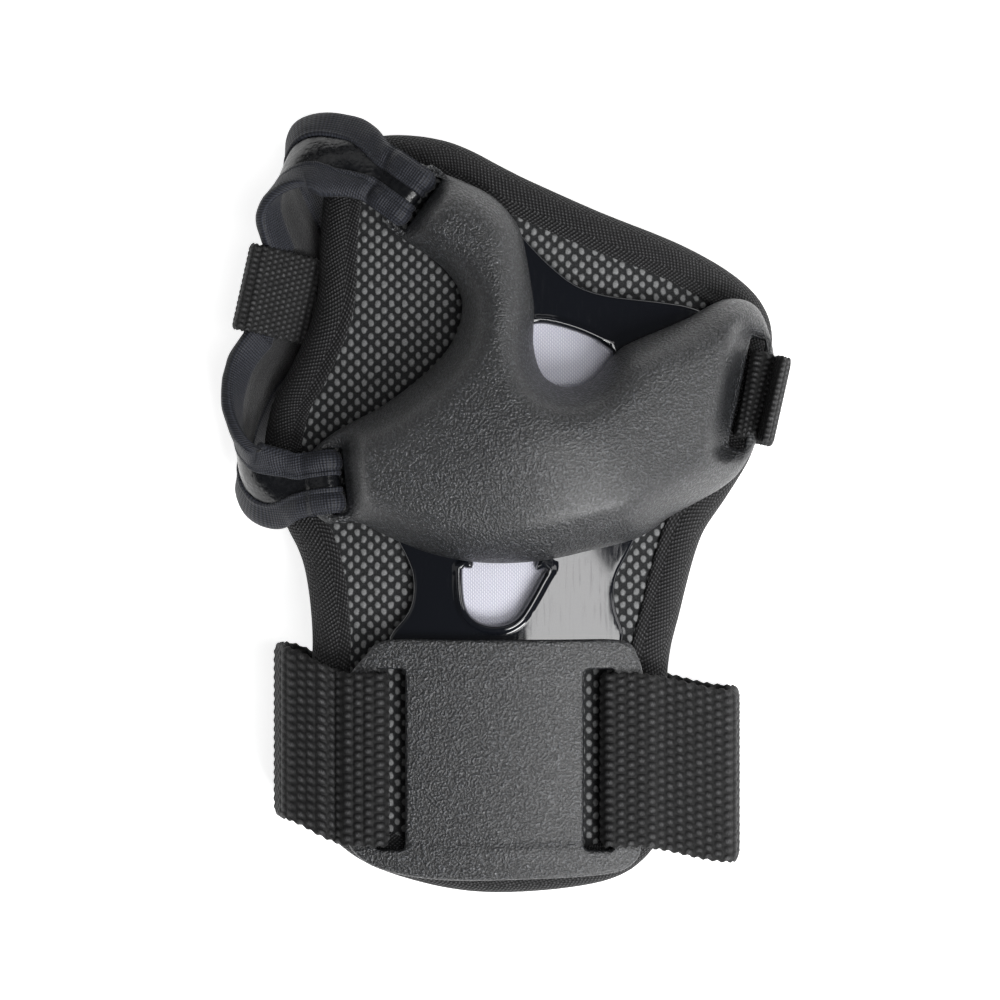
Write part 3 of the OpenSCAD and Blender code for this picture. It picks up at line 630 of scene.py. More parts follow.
finishes = {
    "matte": matteShell(),
    "gloss": glossShell(),
    "mesh": dottedMesh(),
    "window": windowCloth(),
    "tape": bindingTape(),
    "webbing": webbingCloth("webbing", webLook["wristWeave"], 0.34),
    # the hand strap's copy has its painted light raised by 1.25, standing in for the light on its upright
    # face
    "handWebbing": webbingCloth("hand_webbing", webLook["handWeave"], 0.24, 1.25),
    "ribbon": ribbonCloth(),
    "vinyl": bandVinyl(),
    "lining": fuzzy("pad_lining", (0.012, 0.012, 0.014), (0.03, 0.03, 0.033), 0.5, 0.15),
    "foam": fuzzy("foam", (0.03, 0.031, 0.034), (0.05, 0.05, 0.054), 0.8, 0.2),
    "pile": fuzzy("loop_pile", (0.008, 0.008, 0.009), (0.024, 0.024, 0.025), 0.35, 0.3),
    "hook": fuzzy("hook_tape", (0.006, 0.006, 0.007), (0.018, 0.018, 0.02), 0.6, 0.35, 0.5, 0.0),
    "metal": rivetMetal(),
}
print("finishes made:", len(finishes))


def onGuard(piece, nodeName):
    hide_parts(nodeName)
    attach(piece, "guard")
    return piece


# insets are from the pad's edge or the splint's hole, heights are over the pad's underside
padLook = {
    "tapeWidth": 9.0, "wrinkle": 0.16, "rib": 1.12,
    "meshRim": 8.6, "meshHole": 3.7, "meshUnder": 4.35, "nubHeight": 0.5,
    "windowRim": 3.4, "windowTop": 4.9, "windowUnder": 4.3,
    "foamRim": 2.0, "foamTop": 4.15, "foamUnder": 1.5,
    "liningRim": 1.0, "liningTop": 1.35, "liningUnder": 0.62,
}
bindingOuter = curveThrough(rimLoops("edge_binding")[0], 1.0)
windowLoop = curveThrough(rimLoops("splint")[1], 0.9)


def padLoop(inset):
    return movedIn(bindingOuter, inset, 1.6)


def makeBinding():
    # the tape's section as (inset, height), from the mesh round the edge to the lining
    profile = np.array([
        (9, 4.9), (9, 5.4), (8.6, 5.72), (8.0, 5.86), (7.2, 5.78), (6.7, 5.7), (6.2, 5.82), (5.2, 6.05),
        (4.2, 6.06), (3.2, 5.9), (2.3, 5.5), (1.4, 4.95), (0.7, 4.3), (0.2, 3.5), (0, 2.8), (0.2, 1.9),
        (0.8, 1.05), (1.7, 0.4), (3.2, 0.08), (5.5, 0), (7.5, 0), (8.6, 0.02), (9, 0.15), (9, 0.62),
    ])
    length = np.linalg.norm(np.roll(bindingOuter, -1, axis=0) - bindingOuter, axis=1)
    around = float(np.sum(length))
    rib = padLook["rib"]
    u = np.append(np.concatenate([[0], np.cumsum(length)[:-1]]), around)
    u = u * round(around / rib) * rib / around                 # a whole number of ribs
    bindingRing = np.vstack([bindingOuter, bindingOuter[:1]])
    inward = inwardOf(bindingOuter, 6)
    inward = np.vstack([inward, inward[:1]])
    arcs = lengthsAlong(profile)
    m, k = len(bindingRing), len(profile)
    verts = np.empty((m, k, 3))
    uv = np.empty((m, k, 2))
    wave = ripple(bindingRing, 6.0, 4.0) + 0.5 * ripple(bindingRing, 2.4, 9.0)
    for j, (inset, h) in enumerate(profile):
        xy = bindingRing + inward * inset
        share = min(inset / padLook["tapeWidth"] + 0.15, 1.0)
        lift = padLook["wrinkle"] * wave * math.sin(math.pi * share) if h > 3 else 0.0
        verts[:, j, :2] = xy
        verts[:, j, 2] = archZ(xy[:, 0], xy[:, 1], h) + lift
        uv[:, j, 0] = u
        uv[:, j, 1] = arcs[j]
    faces = [(i * k + j, i * k + j + 1, (i + 1) * k + j + 1, (i + 1) * k + j)
             for i in range(m - 1) for j in range(k - 1)]
    faces += [((i + 1) * k + k - 1, i * k + k - 1, i * k, (i + 1) * k) for i in range(m - 1)]
    return makeObject("edge_tape", verts.reshape(-1, 3), faces, finishes["tape"], uv.reshape(-1, 2))


def meshTop(p):
    nub = nubHeights(p[:, 0], p[:, 1])
    raised = padLook["nubHeight"] * np.sqrt(np.clip(nub + 0.15, 0, 1))
    return archAt(level["weave"])(p) + raised - 0.3 + 0.12 * ripple(p, 9.0)


def windowTop(p):
    return archAt(padLook["windowTop"])(p) + 0.1 * ripple(p, 7.0)


def liningUnder(p):
    # slack between the tape's inner edges only
    slack = distanceTo(p, bindingOuter) > padLook["tapeWidth"] + 0.5
    return archAt(padLook["liningUnder"])(p) - 0.1 * (ripple(p, 8.0) - 0.3) * slack


def makePad():
    look = padLook
    tape = makeBinding()
    meshLoops = [padLoop(look["meshRim"]), movedIn(windowLoop, -look["meshHole"], 1.2)]
    mesh = moulding("dotted_mesh_panel", meshLoops, meshTop, archAt(look["meshUnder"]), finishes["mesh"],
                    edge=0.3, step=0.5, rounds=2, underEdge=0.1)
    window = moulding("window_cloth", [movedIn(windowLoop, -look["windowRim"], 1.2)],
                      windowTop, archAt(look["windowUnder"]), finishes["window"],
                      edge=0.2, step=1.6, rounds=2, underEdge=0.1)
    foam = moulding("pad_foam", [padLoop(look["foamRim"])],
                    archAt(look["foamTop"]), archAt(look["foamUnder"]), finishes["foam"],
                    edge=1.2, step=4.0, rounds=3, underEdge=1.0)
    lining = moulding("skin_lining", [padLoop(look["liningRim"])],
                      archAt(look["liningTop"]), liningUnder, finishes["lining"],
                      edge=0.3, step=2.5, rounds=2, underEdge=0.2)
    onGuard(tape, "edge_binding")
    onGuard(mesh, "mesh_panel")
    onGuard(window, "window_panel")
    onGuard(foam, "foam_core")
    onGuard(lining, "lining")


makePad()
print("pad made")


splintLook = {
    "edge": 0.9, "beadHeight": 0.75, "beadWidth": 2.0,
    "beadTop": -11.0, "lipFrom": 35.0,      # the bead shows below one height and the lip above the other
}
splintLoop = curveThrough(rimLoops("splint")[0], 1.2)


def splintTop(p):
    halfBead = splintLook["beadWidth"] / 2
    offMiddle = np.clip(distanceTo(p, windowLoop) - halfBead, None, 3) / halfBead
    bead = np.sqrt(np.clip(1 - np.square(offMiddle), 0, 1))
    shown = ease((splintLook["beadTop"] - p[:, 1]) / 4) + 0.8 * ease((p[:, 1] - splintLook["lipFrom"]) / 2)
    return archAt(level["seat"])(p) + splintLook["beadHeight"] * bead * shown


beadGuides = [movedIn(windowLoop, -d, 0.8) for d in (1.3, 1.7, 2.1, 2.7, 3.4)]
splint = moulding("gloss_splint", [splintLoop, windowLoop], splintTop, archAt(level["weave"] + 0.05),
                  finishes["gloss"], edge=splintLook["edge"], step=1.3, rounds=4, guides=beadGuides)
onGuard(splint, "splint")


def plateLoops(nodeName, slotCount, step):
    # a plate's smooth outline, then its straight slots
    outline, *slots = rimLoops(nodeName, 0.45)
    return [curveThrough(outline, 1.1)] + [ringOf(loop, step) for loop in slots[:slotCount]]


cuffLook = {"edge": 0.8, "recess": 0.35, "top": -41.5, "bottom": -79.0, "soft": 1.2, "lean": 0.012}
cuffLoops = plateLoops("cuff_plate", 2, 0.9)


def cuffTop(p):
    # a shallow pressed field between the plate's two ends
    y, soft = p[:, 1] - cuffLook["lean"] * p[:, 0], cuffLook["soft"]
    pressed = ease((cuffLook["top"] - y) / soft) * ease((y - cuffLook["bottom"]) / soft)
    return archAt(level["cuff"])(p) - cuffLook["recess"] * pressed


cuff = moulding("cuff_plate_shell", cuffLoops, cuffTop, archAt(level["seat"]), finishes["matte"],
                edge=cuffLook["edge"], step=0.9, rounds=4)
onGuard(cuff, "cuff_plate")

capLook = {
    "rise": 15.0, "horns": 6.5, "shoulder": 9.0, "slotWall": 4.2, "slotHalf": 2.7, "edge": 1.3, "grid": 0.7,
    "barHeight": 9.1,
    "top": (10.0, 14.0), "wide": 42.0, "below": 24.0, "above": 30.0,
}
# each slot's middle, the direction out of the cap, and its length
capSlots = {
    "upper": ((-19.6, 68.2), 143.5, 15.0),
    "lower": ((-37.5, 4.3), 186.0, 15.0),
    "hand": ((55.2, 24.4), -12.5, 26.2),
}
capLoops = plateLoops("palm_cap", 3, 0.8)


def capHeight(p):
    # a broad crown over the heel of the hand, on a shoulder that rises from the rim and from the strap slots
    dx, dy = p[:, 0] - capLook["top"][0], p[:, 1] - capLook["top"][1]
    tall = np.where(dy < 0, capLook["below"], capLook["above"])
    crown = np.exp(-np.square(dx / capLook["wide"]) - np.square(dy / tall))
    t = np.clip(distanceTo(p, capLoops[0]) / capLook["shoulder"], 0, 1)
    z = t * (2 - t) * (capLook["horns"] + (capLook["rise"] - capLook["horns"]) * crown)
    for (cx, cy), turn, length in capSlots.values():
        c, s = math.cos(math.radians(turn)), math.sin(math.radians(turn))
        a = (p[:, 0] - cx) * c + (p[:, 1] - cy) * s
        b = -(p[:, 0] - cx) * s + (p[:, 1] - cy) * c
        beside, beyond = -capLook["slotHalf"] - a, np.abs(b) - length / 2 - 1
        away = np.hypot(np.clip(beside, 0, None), np.clip(beyond, 0, None))
        t = np.clip(away / capLook["slotWall"], 0, 1)
        z *= t * (2 - t)
    return z


def capField():
    # the same height on an even grid, its creases worn soft
    low, high = capLoops[0].min(axis=0) - 4, capLoops[0].max(axis=0) + 4
    xs, ys = np.arange(low[0], high[0] + 1, capLook["grid"]), np.arange(low[1], high[1] + 1, capLook["grid"])
    gx, gy = np.meshgrid(xs, ys)
    flat = np.column_stack([gx.ravel(), gy.ravel()])
    inside = isInside(flat, capLoops[0])
    z = np.where(inside, capHeight(flat), -0.9 * distanceTo(flat, capLoops[0])).reshape(gx.shape)
    for _ in range(3):
        z = (z * 4 + np.roll(z, 1, 0) + np.roll(z, -1, 0) + np.roll(z, 1, 1) + np.roll(z, -1, 1)) / 8
    return low, z


fieldLow, field = capField()


def capRise(p):
    q = (p - fieldLow) / capLook["grid"]
    i = np.clip(np.floor(q[:, 0]).astype(int), 0, field.shape[1] - 2)
    j = np.clip(np.floor(q[:, 1]).astype(int), 0, field.shape[0] - 2)
    a, b = q[:, 0] - i, q[:, 1] - j
    lower = field[j, i] * (1 - a) + field[j, i + 1] * a
    upper = field[j + 1, i] * (1 - a) + field[j + 1, i + 1] * a
    return np.clip(lower * (1 - b) + upper * b, 0, None)


cap = moulding("palm_cap_shell", capLoops, lambda p: archAt(level["cap"])(p) + capRise(p),
               lambda p: archAt(level["seat"])(p) + capRise(p), finishes["matte"],
               edge=capLook["edge"], step=1.3, rounds=5)
onGuard(cap, "palm_cap")

for nodeName in ("rivets", "rivet_washers"):
    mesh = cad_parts[nodeName].data
    mesh.materials.clear()
    mesh.materials.append(finishes["metal"])
print("plates made")


def barFrame(x, y, turn, h):
    # middle of a bar, the direction out of the guard along the arch, and the arch's normal
    up = archUp(x, y, h)
    out = np.array([math.cos(math.radians(turn)), math.sin(math.radians(turn)), 0.0])
    out = unit(out - up * np.dot(out, up))
    return np.array([x, y, float(archZ(x, y, h))]), out, up


def roundedPath(points, radii, step=0.5):
    # straight runs joined by round corners
    p = [np.array(q, float) for q in points]
    line = [p[0]]
    for a, b, c, r in zip(p[:-2], p[1:-1], p[2:], radii):
        u, v = unit(a - b), unit(c - b)
        half = math.acos(max(-1.0, min(1.0, np.dot(u, v)))) / 2
        reach = min(r / math.tan(half), 0.48 * np.linalg.norm(a - b), 0.48 * np.linalg.norm(c - b))
        start, end = b + u * reach, b + v * reach
        line += [(1 - t) ** 2 * start + 2 * t * (1 - t) * b + t * t * end for t in np.linspace(0, 1, 9)]
    return evenly(np.array(line + [p[-1]]), step)


def webbing(name, path, across, width, thick, cloth, weave, relief, shift=None, vStep=0.42):
    # a woven strip along a path; its bumps are real, and its two edges are scalloped by the weave
    column, row = weave
    count = len(path)
    u = lengthsAlong(path)
    along = unitRows(np.gradient(path, axis=0))
    side = unitRows(squareTo(np.tile(unit(across), (count, 1)), along))
    outward = np.cross(along, side)
    half = width / 2
    v = np.linspace(-half, half, int(width / vStep) + 1)
    edge = np.sqrt(np.clip(1 - np.power(np.abs(v / half), 24), 0.02, 1))
    uu, vv = np.meshgrid(u, v, indexing="ij")
    rows = vv + 100.0                      # the weave's rows, all counted up from zero
    fade = np.clip((half - np.abs(vv)) / 1.0, 0.35, 1)
    topH = thick / 2 * edge + relief * (knotHeights(uu, rows, column, row) - 0.55) * fade
    lowH = -thick / 2 * edge - relief * (knotHeights(uu + column, rows, column, row) - 0.55) * fade
    scallop = 1 + 0.25 / half * np.cos(2 * np.pi * uu / column)
    wide = vv * np.where(np.abs(vv) > half - 1.5, scallop, 1)
    if shift is not None:
        path = path + shift(path)
    middle = path[:, None] + side[:, None] * wide[..., None]
    topPoints = middle + outward[:, None] * topH[..., None]
    lowPoints = middle + outward[:, None] * lowH[..., None]
    verts = np.concatenate([topPoints, lowPoints[:, ::-1]], axis=1)
    uv = np.concatenate([np.stack([uu, rows], -1), np.stack([uu + column, rows[:, ::-1]], -1)], axis=1)
    ring = 2 * len(v)
    faces = [(i * ring + j, (i + 1) * ring + j, (i + 1) * ring + (j + 1) % ring, i * ring + (j + 1) % ring)
             for i in range(count - 1) for j in range(ring)]
    faces += [tuple(range(ring)), tuple((count - 1) * ring + j for j in range(ring - 1, -1, -1))]
    return makeObject(name, verts.reshape(-1, 3), faces, cloth, uv.reshape(-1, 2))


def aroundBar(frameOf, bar, r):
    # points of a loop round a bar: from its seam underneath, through the slot, and over the top
    middle, out, up = frameOf
    arc = [(-bar / 2 - r * math.sin(a), -r * math.cos(a)) for a in np.linspace(0, math.pi, 11)]
    flat = [(bar / 2 + 2.6, -1.05), (bar / 2 + 0.6, -r + 0.12)] + arc + [(bar / 2 + 0.2, r)]
    return [middle + a * out + b * up for a, b in flat]


wristLook = {
    "width": 39.5, "thick": 1.8, "lapThick": 1.5, "lapRelief": 0.18,
    "bar": 6.9, "barX": (-32.4, 28.4), "barHalf": 1.1, "clear": 0.25,
    "barHeight": 9.0, "fallLeft": (6.0, -34.5, 17.0), "fallRight": (4.2, 29.0, 24.0),
}
cuffMid = arch["cuffMiddle"]


def atCuff(*places):
    return [(x, cuffMid, z) for x, z in places]


def wristShift(path):
    # the strap lies a little askew: its left side shifts to the fingers and its right one to the arm,
    # each by an amount that grows from one place over a length
    x, moved = path[:, 0], np.zeros_like(path)
    (left, leftFrom, leftOver), (right, rightFrom, rightOver) = wristLook["fallLeft"], wristLook["fallRight"]
    moved[:, 1] = left * ease((leftFrom - x) / leftOver) - right * ease((x - rightFrom) / rightOver)
    return moved


def wristSide(name, side, run, radii, across):
    # from the seam round the bar, out of the slot and down the guard's side
    barX, turn = (wristLook["barX"][1], 0) if side == "right" else (wristLook["barX"][0], 180)
    r = wristLook["barHalf"] + wristLook["clear"] + wristLook["thick"] / 2
    loop = aroundBar(barFrame(barX, cuffMid, turn, wristLook["barHeight"]), wristLook["bar"], r)
    path = evenly(np.vstack([evenly(loop, 0.5), roundedPath(run, radii)]), 0.55)
    return webbing(name, path, across, wristLook["width"], wristLook["thick"], finishes["webbing"],
                   webLook["wristWeave"], webLook["wristRelief"], wristShift)


def wristUnder(name, run, radii, across):
    path = roundedPath(run, radii, 0.8)
    return webbing(name, path, across, wristLook["width"], wristLook["lapThick"], finishes["webbing"],
                   webLook["wristWeave"], wristLook["lapRelief"], wristShift, 0.8)


def makeWristRight():
    run = atCuff((33.9, 31.2), (36.4, 29.6), (44.0, 27.2), (52.8, 24.0), (53.9, 12.0), (53.7, 8.5))
    strap = wristSide("wrist_strap_right_side", "right", run, [1.2, 4, 4.5, 8], (0, 1, 0))
    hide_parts("wrist_loop_right", "wrist_strap_right")
    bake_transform(strap)
    run = atCuff((53.7, 8.5), (53.6, 0.9), (46.2, 0.9), (-38, 0.9))
    tail = wristUnder("wrist_strap_tail", run, [5, 1], (0, -1, 0))
    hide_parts("wrist_tail")
    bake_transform(tail)
    return strap, tail


def makeWristLeft():
    run = atCuff((-36.6, 30.4), (-38.4, 28.9), (-41.8, 30.3), (-50.0, 26.6), (-52.3, 14.0), (-51.6, 9.0))
    strap = wristSide("wrist_strap_left_side", "left", run, [1.4, 3, 6, 8], (0, -1, 0))
    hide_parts("wrist_loop_left", "wrist_strap_left")
    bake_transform(strap)
    lap = wristUnder("wrist_strap_lap", atCuff((-51.6, 9.0), (-51.2, 3.6), (-2.0, 3.6)), [5], (0, 1, 0))
    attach(lap, "wrist_left")
    return strap, lap


handLook = {
    "width": 20.0, "thick": 1.2, "bar": 2.6, "barOut": 3.6, "loopRound": 1.85,
    "hinge": (63.864, 22.479, 16.132),
    "sleeve": (-109.6, 11.3, -0.6), "sleeveHalf": 11.3, "sleeveRound": 2.9, "sleeveLean": 38,
}
(handX, handY), handTurn, _ = capSlots["hand"]
handDir = np.array([math.cos(math.radians(handTurn)), math.sin(math.radians(handTurn)), 0.0])
handAcross = np.array([-handDir[1], handDir[0], 0.0])
handMid = np.array([handX, handY, 0.0]) + handDir * handLook["barOut"]


def handPoint(along, z, across=0.0):
    # a place on the hand strap's line, from the cap's bar
    q = handMid + handDir * along + handAcross * across
    return np.array([q[0], q[1], z])


def handWebbing(name, path, across, thick, relief, vStep=0.36):
    return webbing(name, path, across, handLook["width"], thick, finishes["handWebbing"],
                   webLook["handWeave"], relief, vStep=vStep)


def makeHandFlap():
    bar = barFrame(handMid[0], handMid[1], handTurn, capLook["barHeight"])
    loop = aroundBar(bar, handLook["bar"], handLook["loopRound"])
    side = [handPoint(3.0, 27.2), handPoint(4.6, 24.8), handPoint(5.3, 15.0), handPoint(5.4, 6.5)]
    path = evenly(np.vstack([evenly(loop, 0.4), roundedPath(side, [3.0, 6])]), 0.4)
    strap = handWebbing("hand_strap_right_side", path, handAcross, handLook["thick"], webLook["handRelief"])
    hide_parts("hand_loop_right", "hand_strap_flap")
    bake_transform(strap)
    under = roundedPath([handPoint(5.4, 6.5), handPoint(5.3, 0.6), handPoint(-54.7, 0.6)], [3], 0.8)
    flap = handWebbing("hand_strap_tail", under, -handAcross, 1.1, 0.1, 0.8)
    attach(flap, "hand_flap")
    return strap, flap


sleeveMid = handPoint(*handLook["sleeve"])


def makeSleeve():
    # round the thumb band, sewn to the run that leaves it under the guard
    lean = math.radians(handLook["sleeveLean"])
    longWay = handDir * math.cos(lean) + np.array([0, 0, -math.sin(lean)])
    outOf = handDir * math.sin(lean) + np.array([0, 0, math.cos(lean)])
    half, r = handLook["sleeveHalf"], handLook["sleeveRound"]
    ends = []
    for a in np.linspace(0.10 * math.pi, 0.5 * math.pi, 8):
        ends.append(sleeveMid + longWay * (half + r * math.cos(a)) + outOf * r * math.sin(a))
    for a in np.linspace(0.5 * math.pi, 1.5 * math.pi, 14):
        ends.append(sleeveMid - longWay * half + longWay * r * math.cos(a) + outOf * r * math.sin(a))
    ends.append(sleeveMid + longWay * (half - 1.0) - outOf * r)
    run = [handPoint(-99.5, 2.15), handPoint(-97.0, 2.55), handPoint(-94.0, 2.7), handPoint(-34.0, 2.7)]
    path = evenly(np.vstack([evenly(ends, 0.5), evenly(run, 0.5)]), 0.42)
    strap = handWebbing("hand_strap_sleeve_run", path, -handAcross, handLook["thick"], webLook["handRelief"])
    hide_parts("hand_strap_sleeve", "hand_strap")
    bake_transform(strap)
    return strap


for strap in (*makeWristRight(), *makeWristLeft(), *makeHandFlap(), makeSleeve()):
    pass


def patch(name, nodeName, body, cloth):
    # a thin sewn patch of hook or loop tape, its top a little uneven
    low, high = [np.array(c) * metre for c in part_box(nodeName)]
    verts = np.array([v.co[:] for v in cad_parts[nodeName].data.vertices]) * metre
    flat = verts[verts[:, 2] > (low[2] + high[2]) / 2][:, :2]
    middle = flat.mean(axis=0)
    loop = flat[np.argsort(np.arctan2(flat[:, 1] - middle[1], flat[:, 0] - middle[0]))]
    loop = loop[np.concatenate([[True], np.linalg.norm(np.diff(loop, axis=0), axis=1) > 0.05])]
    obj = moulding(name, [ringOf(loop, 1.5)], lambda p: high[2] - 0.02 + 0.04 * ripple(p, 1.2),
                   lambda p: low[2] + 0 * p[:, 0], cloth, edge=0.15, step=1.4, rounds=1, underEdge=0.05)
    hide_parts(nodeName)
    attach(obj, body)


patch("wrist_hook_tape", "wrist_hook_patch", "wrist_end", finishes["hook"])
patch("wrist_pile_tape", "wrist_loop_patch", "wrist_left", finishes["pile"])
patch("hand_hook_tape", "hand_hook_patch", "hand_flap", finishes["hook"])
patch("hand_pile_tape", "hand_loop_patch", "hand_run", finishes["pile"])
print("straps made")


# two ribbed edge tapes, vinyl between them and pile inside; upper and lower hold x, y, z and roll in degrees
bandLook = {
    "half": 11.5, "tape": 7.4, "tabHalf": 7.3, "tabTape": 6.0, "seamAt": 0.6, "spread": 12.0, "thick": 1.35,
    "bar": 4.0, "barOut": 4.2, "loopRound": 1.75, "tabReach": 9.95, "endLift": 0.9,
    "tabRoll": 8, "sleeveRoll": 142, "sleeveHalf": 12.6,
    "upper": [
        (-36.8, 78.6, 21.2, 28), (-44.6, 80.0, 19.4, 42), (-49.7, 75.3, 17.0, 84), (-49.9, 69.0, 14.4, 128),
    ],
    "lower": [
        (-56.3, 28.4, 12.2, 133), (-59.7, 18.6, 14.8, 112), (-59.7, 9.3, 17.8, 82), (-56.0, 3.7, 20.4, 46),
    ],
    "hinge": (-28.55, 36.25, 26.2), "away": (-0.9628, 0.2697, 0.0),
}


def tabLoop(slot):
    # the band's end round a bar of the cap, the bar's frame, and where the band goes on from it
    (cx, cy), turn, _ = slot
    out = np.array([math.cos(math.radians(turn)), math.sin(math.radians(turn))])
    middle = np.array([cx, cy]) + out * bandLook["barOut"]
    end = np.array([cx, cy]) + out * bandLook["tabReach"]
    endHeight = float(archZ(end[0], end[1], capLook["barHeight"])) + bandLook["endLift"]
    bar = barFrame(middle[0], middle[1], turn, capLook["barHeight"])
    return aroundBar(bar, bandLook["bar"], bandLook["loopRound"]), bar, np.array([end[0], end[1], endHeight])


def settle(line, times):
    # evens out an open line in place, its two ends kept
    for _ in range(times):
        line[1:-1] = (line[:-2] + 2 * line[1:-1] + line[2:]) / 4


def bandLine():
    upPoints, upFrame, upEnd = tabLoop(capSlots["upper"])
    lowPoints, lowFrame, lowEnd = tabLoop(capSlots["lower"])
    tabRoll, sleeveRoll = bandLook["tabRoll"], bandLook["sleeveRoll"]
    reach = handAcross * bandLook["sleeveHalf"]
    upKnots = [(*upEnd, tabRoll)] + bandLook["upper"] + [(*(sleeveMid + reach), sleeveRoll)]
    lowKnots = [(*(sleeveMid - reach), sleeveRoll)] + bandLook["lower"] + [(*lowEnd, tabRoll)]
    upper = curveThrough(upKnots, 0.8, closed=False)
    lower = curveThrough(lowKnots, 0.8, closed=False)
    first = evenly(upPoints, 0.5)
    last = evenly(lowPoints, 0.5)[::-1]
    first, last = [np.column_stack([end, np.full(len(end), float(tabRoll))]) for end in (first, last)]
    line = np.vstack([first, upper, lower, last])
    # even steps, then a light smoothing where the loop meets the band
    span = lengthsAlong(line[:, :3])
    even = np.arange(0, span[-1], 0.55)
    line = np.stack([np.interp(even, span, line[:, k]) for k in range(4)], axis=1)
    startLen = span[len(first)]
    endLen = span[-1] - span[len(first) + len(upper) + len(lower)]
    settle(line, 3)
    along = unitRows(np.gradient(line[:, :3], axis=0))
    flat = np.column_stack([-along[:, 1], along[:, 0], np.zeros(len(line))])
    flat /= np.maximum(np.linalg.norm(flat, axis=1), 1e-6)[:, None]
    roll = np.radians(line[:, 3])
    lean = flat * np.cos(roll)[:, None] + np.array([0, 0, 1.0]) * np.sin(roll)[:, None]
    barUp = np.cross(upFrame[2], upFrame[1])
    barLow = -np.cross(lowFrame[2], lowFrame[1])
    atStart = ease((startLen + 2.0 - even) / 3.0)[:, None]
    atEnd = ease((even - (even[-1] - endLen - 2.0)) / 3.0)[:, None]
    across = lean * (1 - atStart) * (1 - atEnd) + barUp * atStart + barLow * atEnd
    across = squareTo(across, along)
    settle(across, 4)
    across = unitRows(squareTo(across, along))
    return line[:, :3], across, np.cross(along, across), even, startLen, even[-1] - endLen


bandCentre, bandAcross, bandOut, bandS, upperSeam, lowerSeam = bandLine()
fromUpper, fromLower = bandS - upperSeam - bandLook["seamAt"], lowerSeam - bandS - bandLook["seamAt"]
openness = ease(fromUpper / bandLook["spread"]) * ease(fromLower / bandLook["spread"])      # 0 at the tabs
seamPress = np.exp(-np.square(fromUpper / 1.0)) + np.exp(-np.square(fromLower / 1.0))
gather = np.exp(-np.abs(fromUpper) / 4.0) + np.exp(-np.abs(fromLower) / 4.0)


def bandStrip(name, outline, cloth, wrinkle, seed=0.0, waves=3.0):
    # outline(openness) gives the section's ring; wrinkles and gathers lift its face
    sections = []
    for i, o in enumerate(openness):
        ring = np.array(outline(o))
        places = np.column_stack([np.full(len(ring), bandS[i]), ring[:, 0] * 0.6])
        lift = wrinkle * ripple(places, waves, seed) * (1 + 1.5 * gather[i])
        pressed = 1 - 0.45 * min(seamPress[i], 1)
        ring[:, 1] = np.where(ring[:, 1] > 0, ring[:, 1] * pressed + lift, ring[:, 1])
        sections.append(ring)
    obj = sweep(name, bandCentre, bandAcross, bandOut, sections, cloth, bandS)
    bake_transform(obj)
    return obj


def tapeRing(side):
    # a folded tape with a stitched groove by its inner edge, puffed where the band is gathered at a tab
    def ring(o):
        outer = bandLook["tabHalf"] + (bandLook["half"] - bandLook["tabHalf"]) * o
        wide = bandLook["tabTape"] + (bandLook["tape"] - bandLook["tabTape"]) * o
        inner = outer - wide
        puff = 0.55 * (1 - o)
        t = bandLook["thick"] - 0.45 * (1 - o)
        face = [
            (inner, 0.35), (inner, t + 0.10), (inner + 0.35, t + 0.42), (inner + 0.8, t + 0.42),
            (inner + 1.15, t + 0.22), (inner + 1.5, t + 0.25), (inner + 0.35 * wide, t + 0.35 + puff * 0.8),
            (inner + 0.5 * wide, t + 0.36 + puff), (inner + 0.65 * wide, t + 0.34 + puff),
            (inner + 0.8 * wide, t + 0.25 + puff * 0.7), (outer - 0.55, t + 0.02), (outer - 0.15, t - 0.45),
            (outer, 0.5), (outer, -0.5),
        ]
        back = [
            (outer - 0.15, -t + 0.45), (outer - 0.6, -t - 0.05), (outer - 1.6, -t - 0.2),
            (inner + 0.5 * wide, -t - 0.25), (inner + 1.0, -t - 0.15), (inner + 0.2, -t), (inner, -0.4),
        ]
        full = face + [(x, y * (0.45 + 0.55 * o)) for x, y in back]
        return [(side * x, y) for x, y in (full if side < 0 else full[::-1])]
    return ring


def vinylRing(o):
    narrow, wide = 1.4, bandLook["half"] - bandLook["tape"] + 0.6
    half = narrow + (wide - narrow) * o
    dip = -0.5 * (1 - o)
    xs = np.linspace(-half, half, 13)
    top = [(x, 1.15 + dip + 0.55 * o * (1 - (x / half) ** 2)) for x in xs]
    return top[::-1] + [(x, 0.2) for x in xs]


def pileRing(o):
    half = bandLook["tabHalf"] - 1.0 + (bandLook["half"] - bandLook["tabHalf"]) * o
    xs = np.linspace(-half, half, 15)
    under = [(x, (-1.1 - 0.15 * math.cos(x * 1.3)) * (0.45 + 0.55 * o)) for x in xs]
    return [(x, -0.1) for x in xs][::-1] + under


innerTape = bandStrip("thumb_tape_inner", tapeRing(1), finishes["ribbon"], 0.22, 2.0, 2.6)
outerTape = bandStrip("thumb_tape_outer", tapeRing(-1), finishes["ribbon"], 0.22, 7.0, 2.6)
vinyl = bandStrip("thumb_vinyl", vinylRing, finishes["vinyl"], 0.35, 5.0, 7.0)
pile = bandStrip("thumb_pile", pileRing, finishes["pile"], 0.0)
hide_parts("thumb_edge_front", "thumb_tab_upper")
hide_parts("thumb_edge_back", "thumb_tab_lower")
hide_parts("thumb_band")
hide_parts("thumb_band_pile")
print("thumb band made")


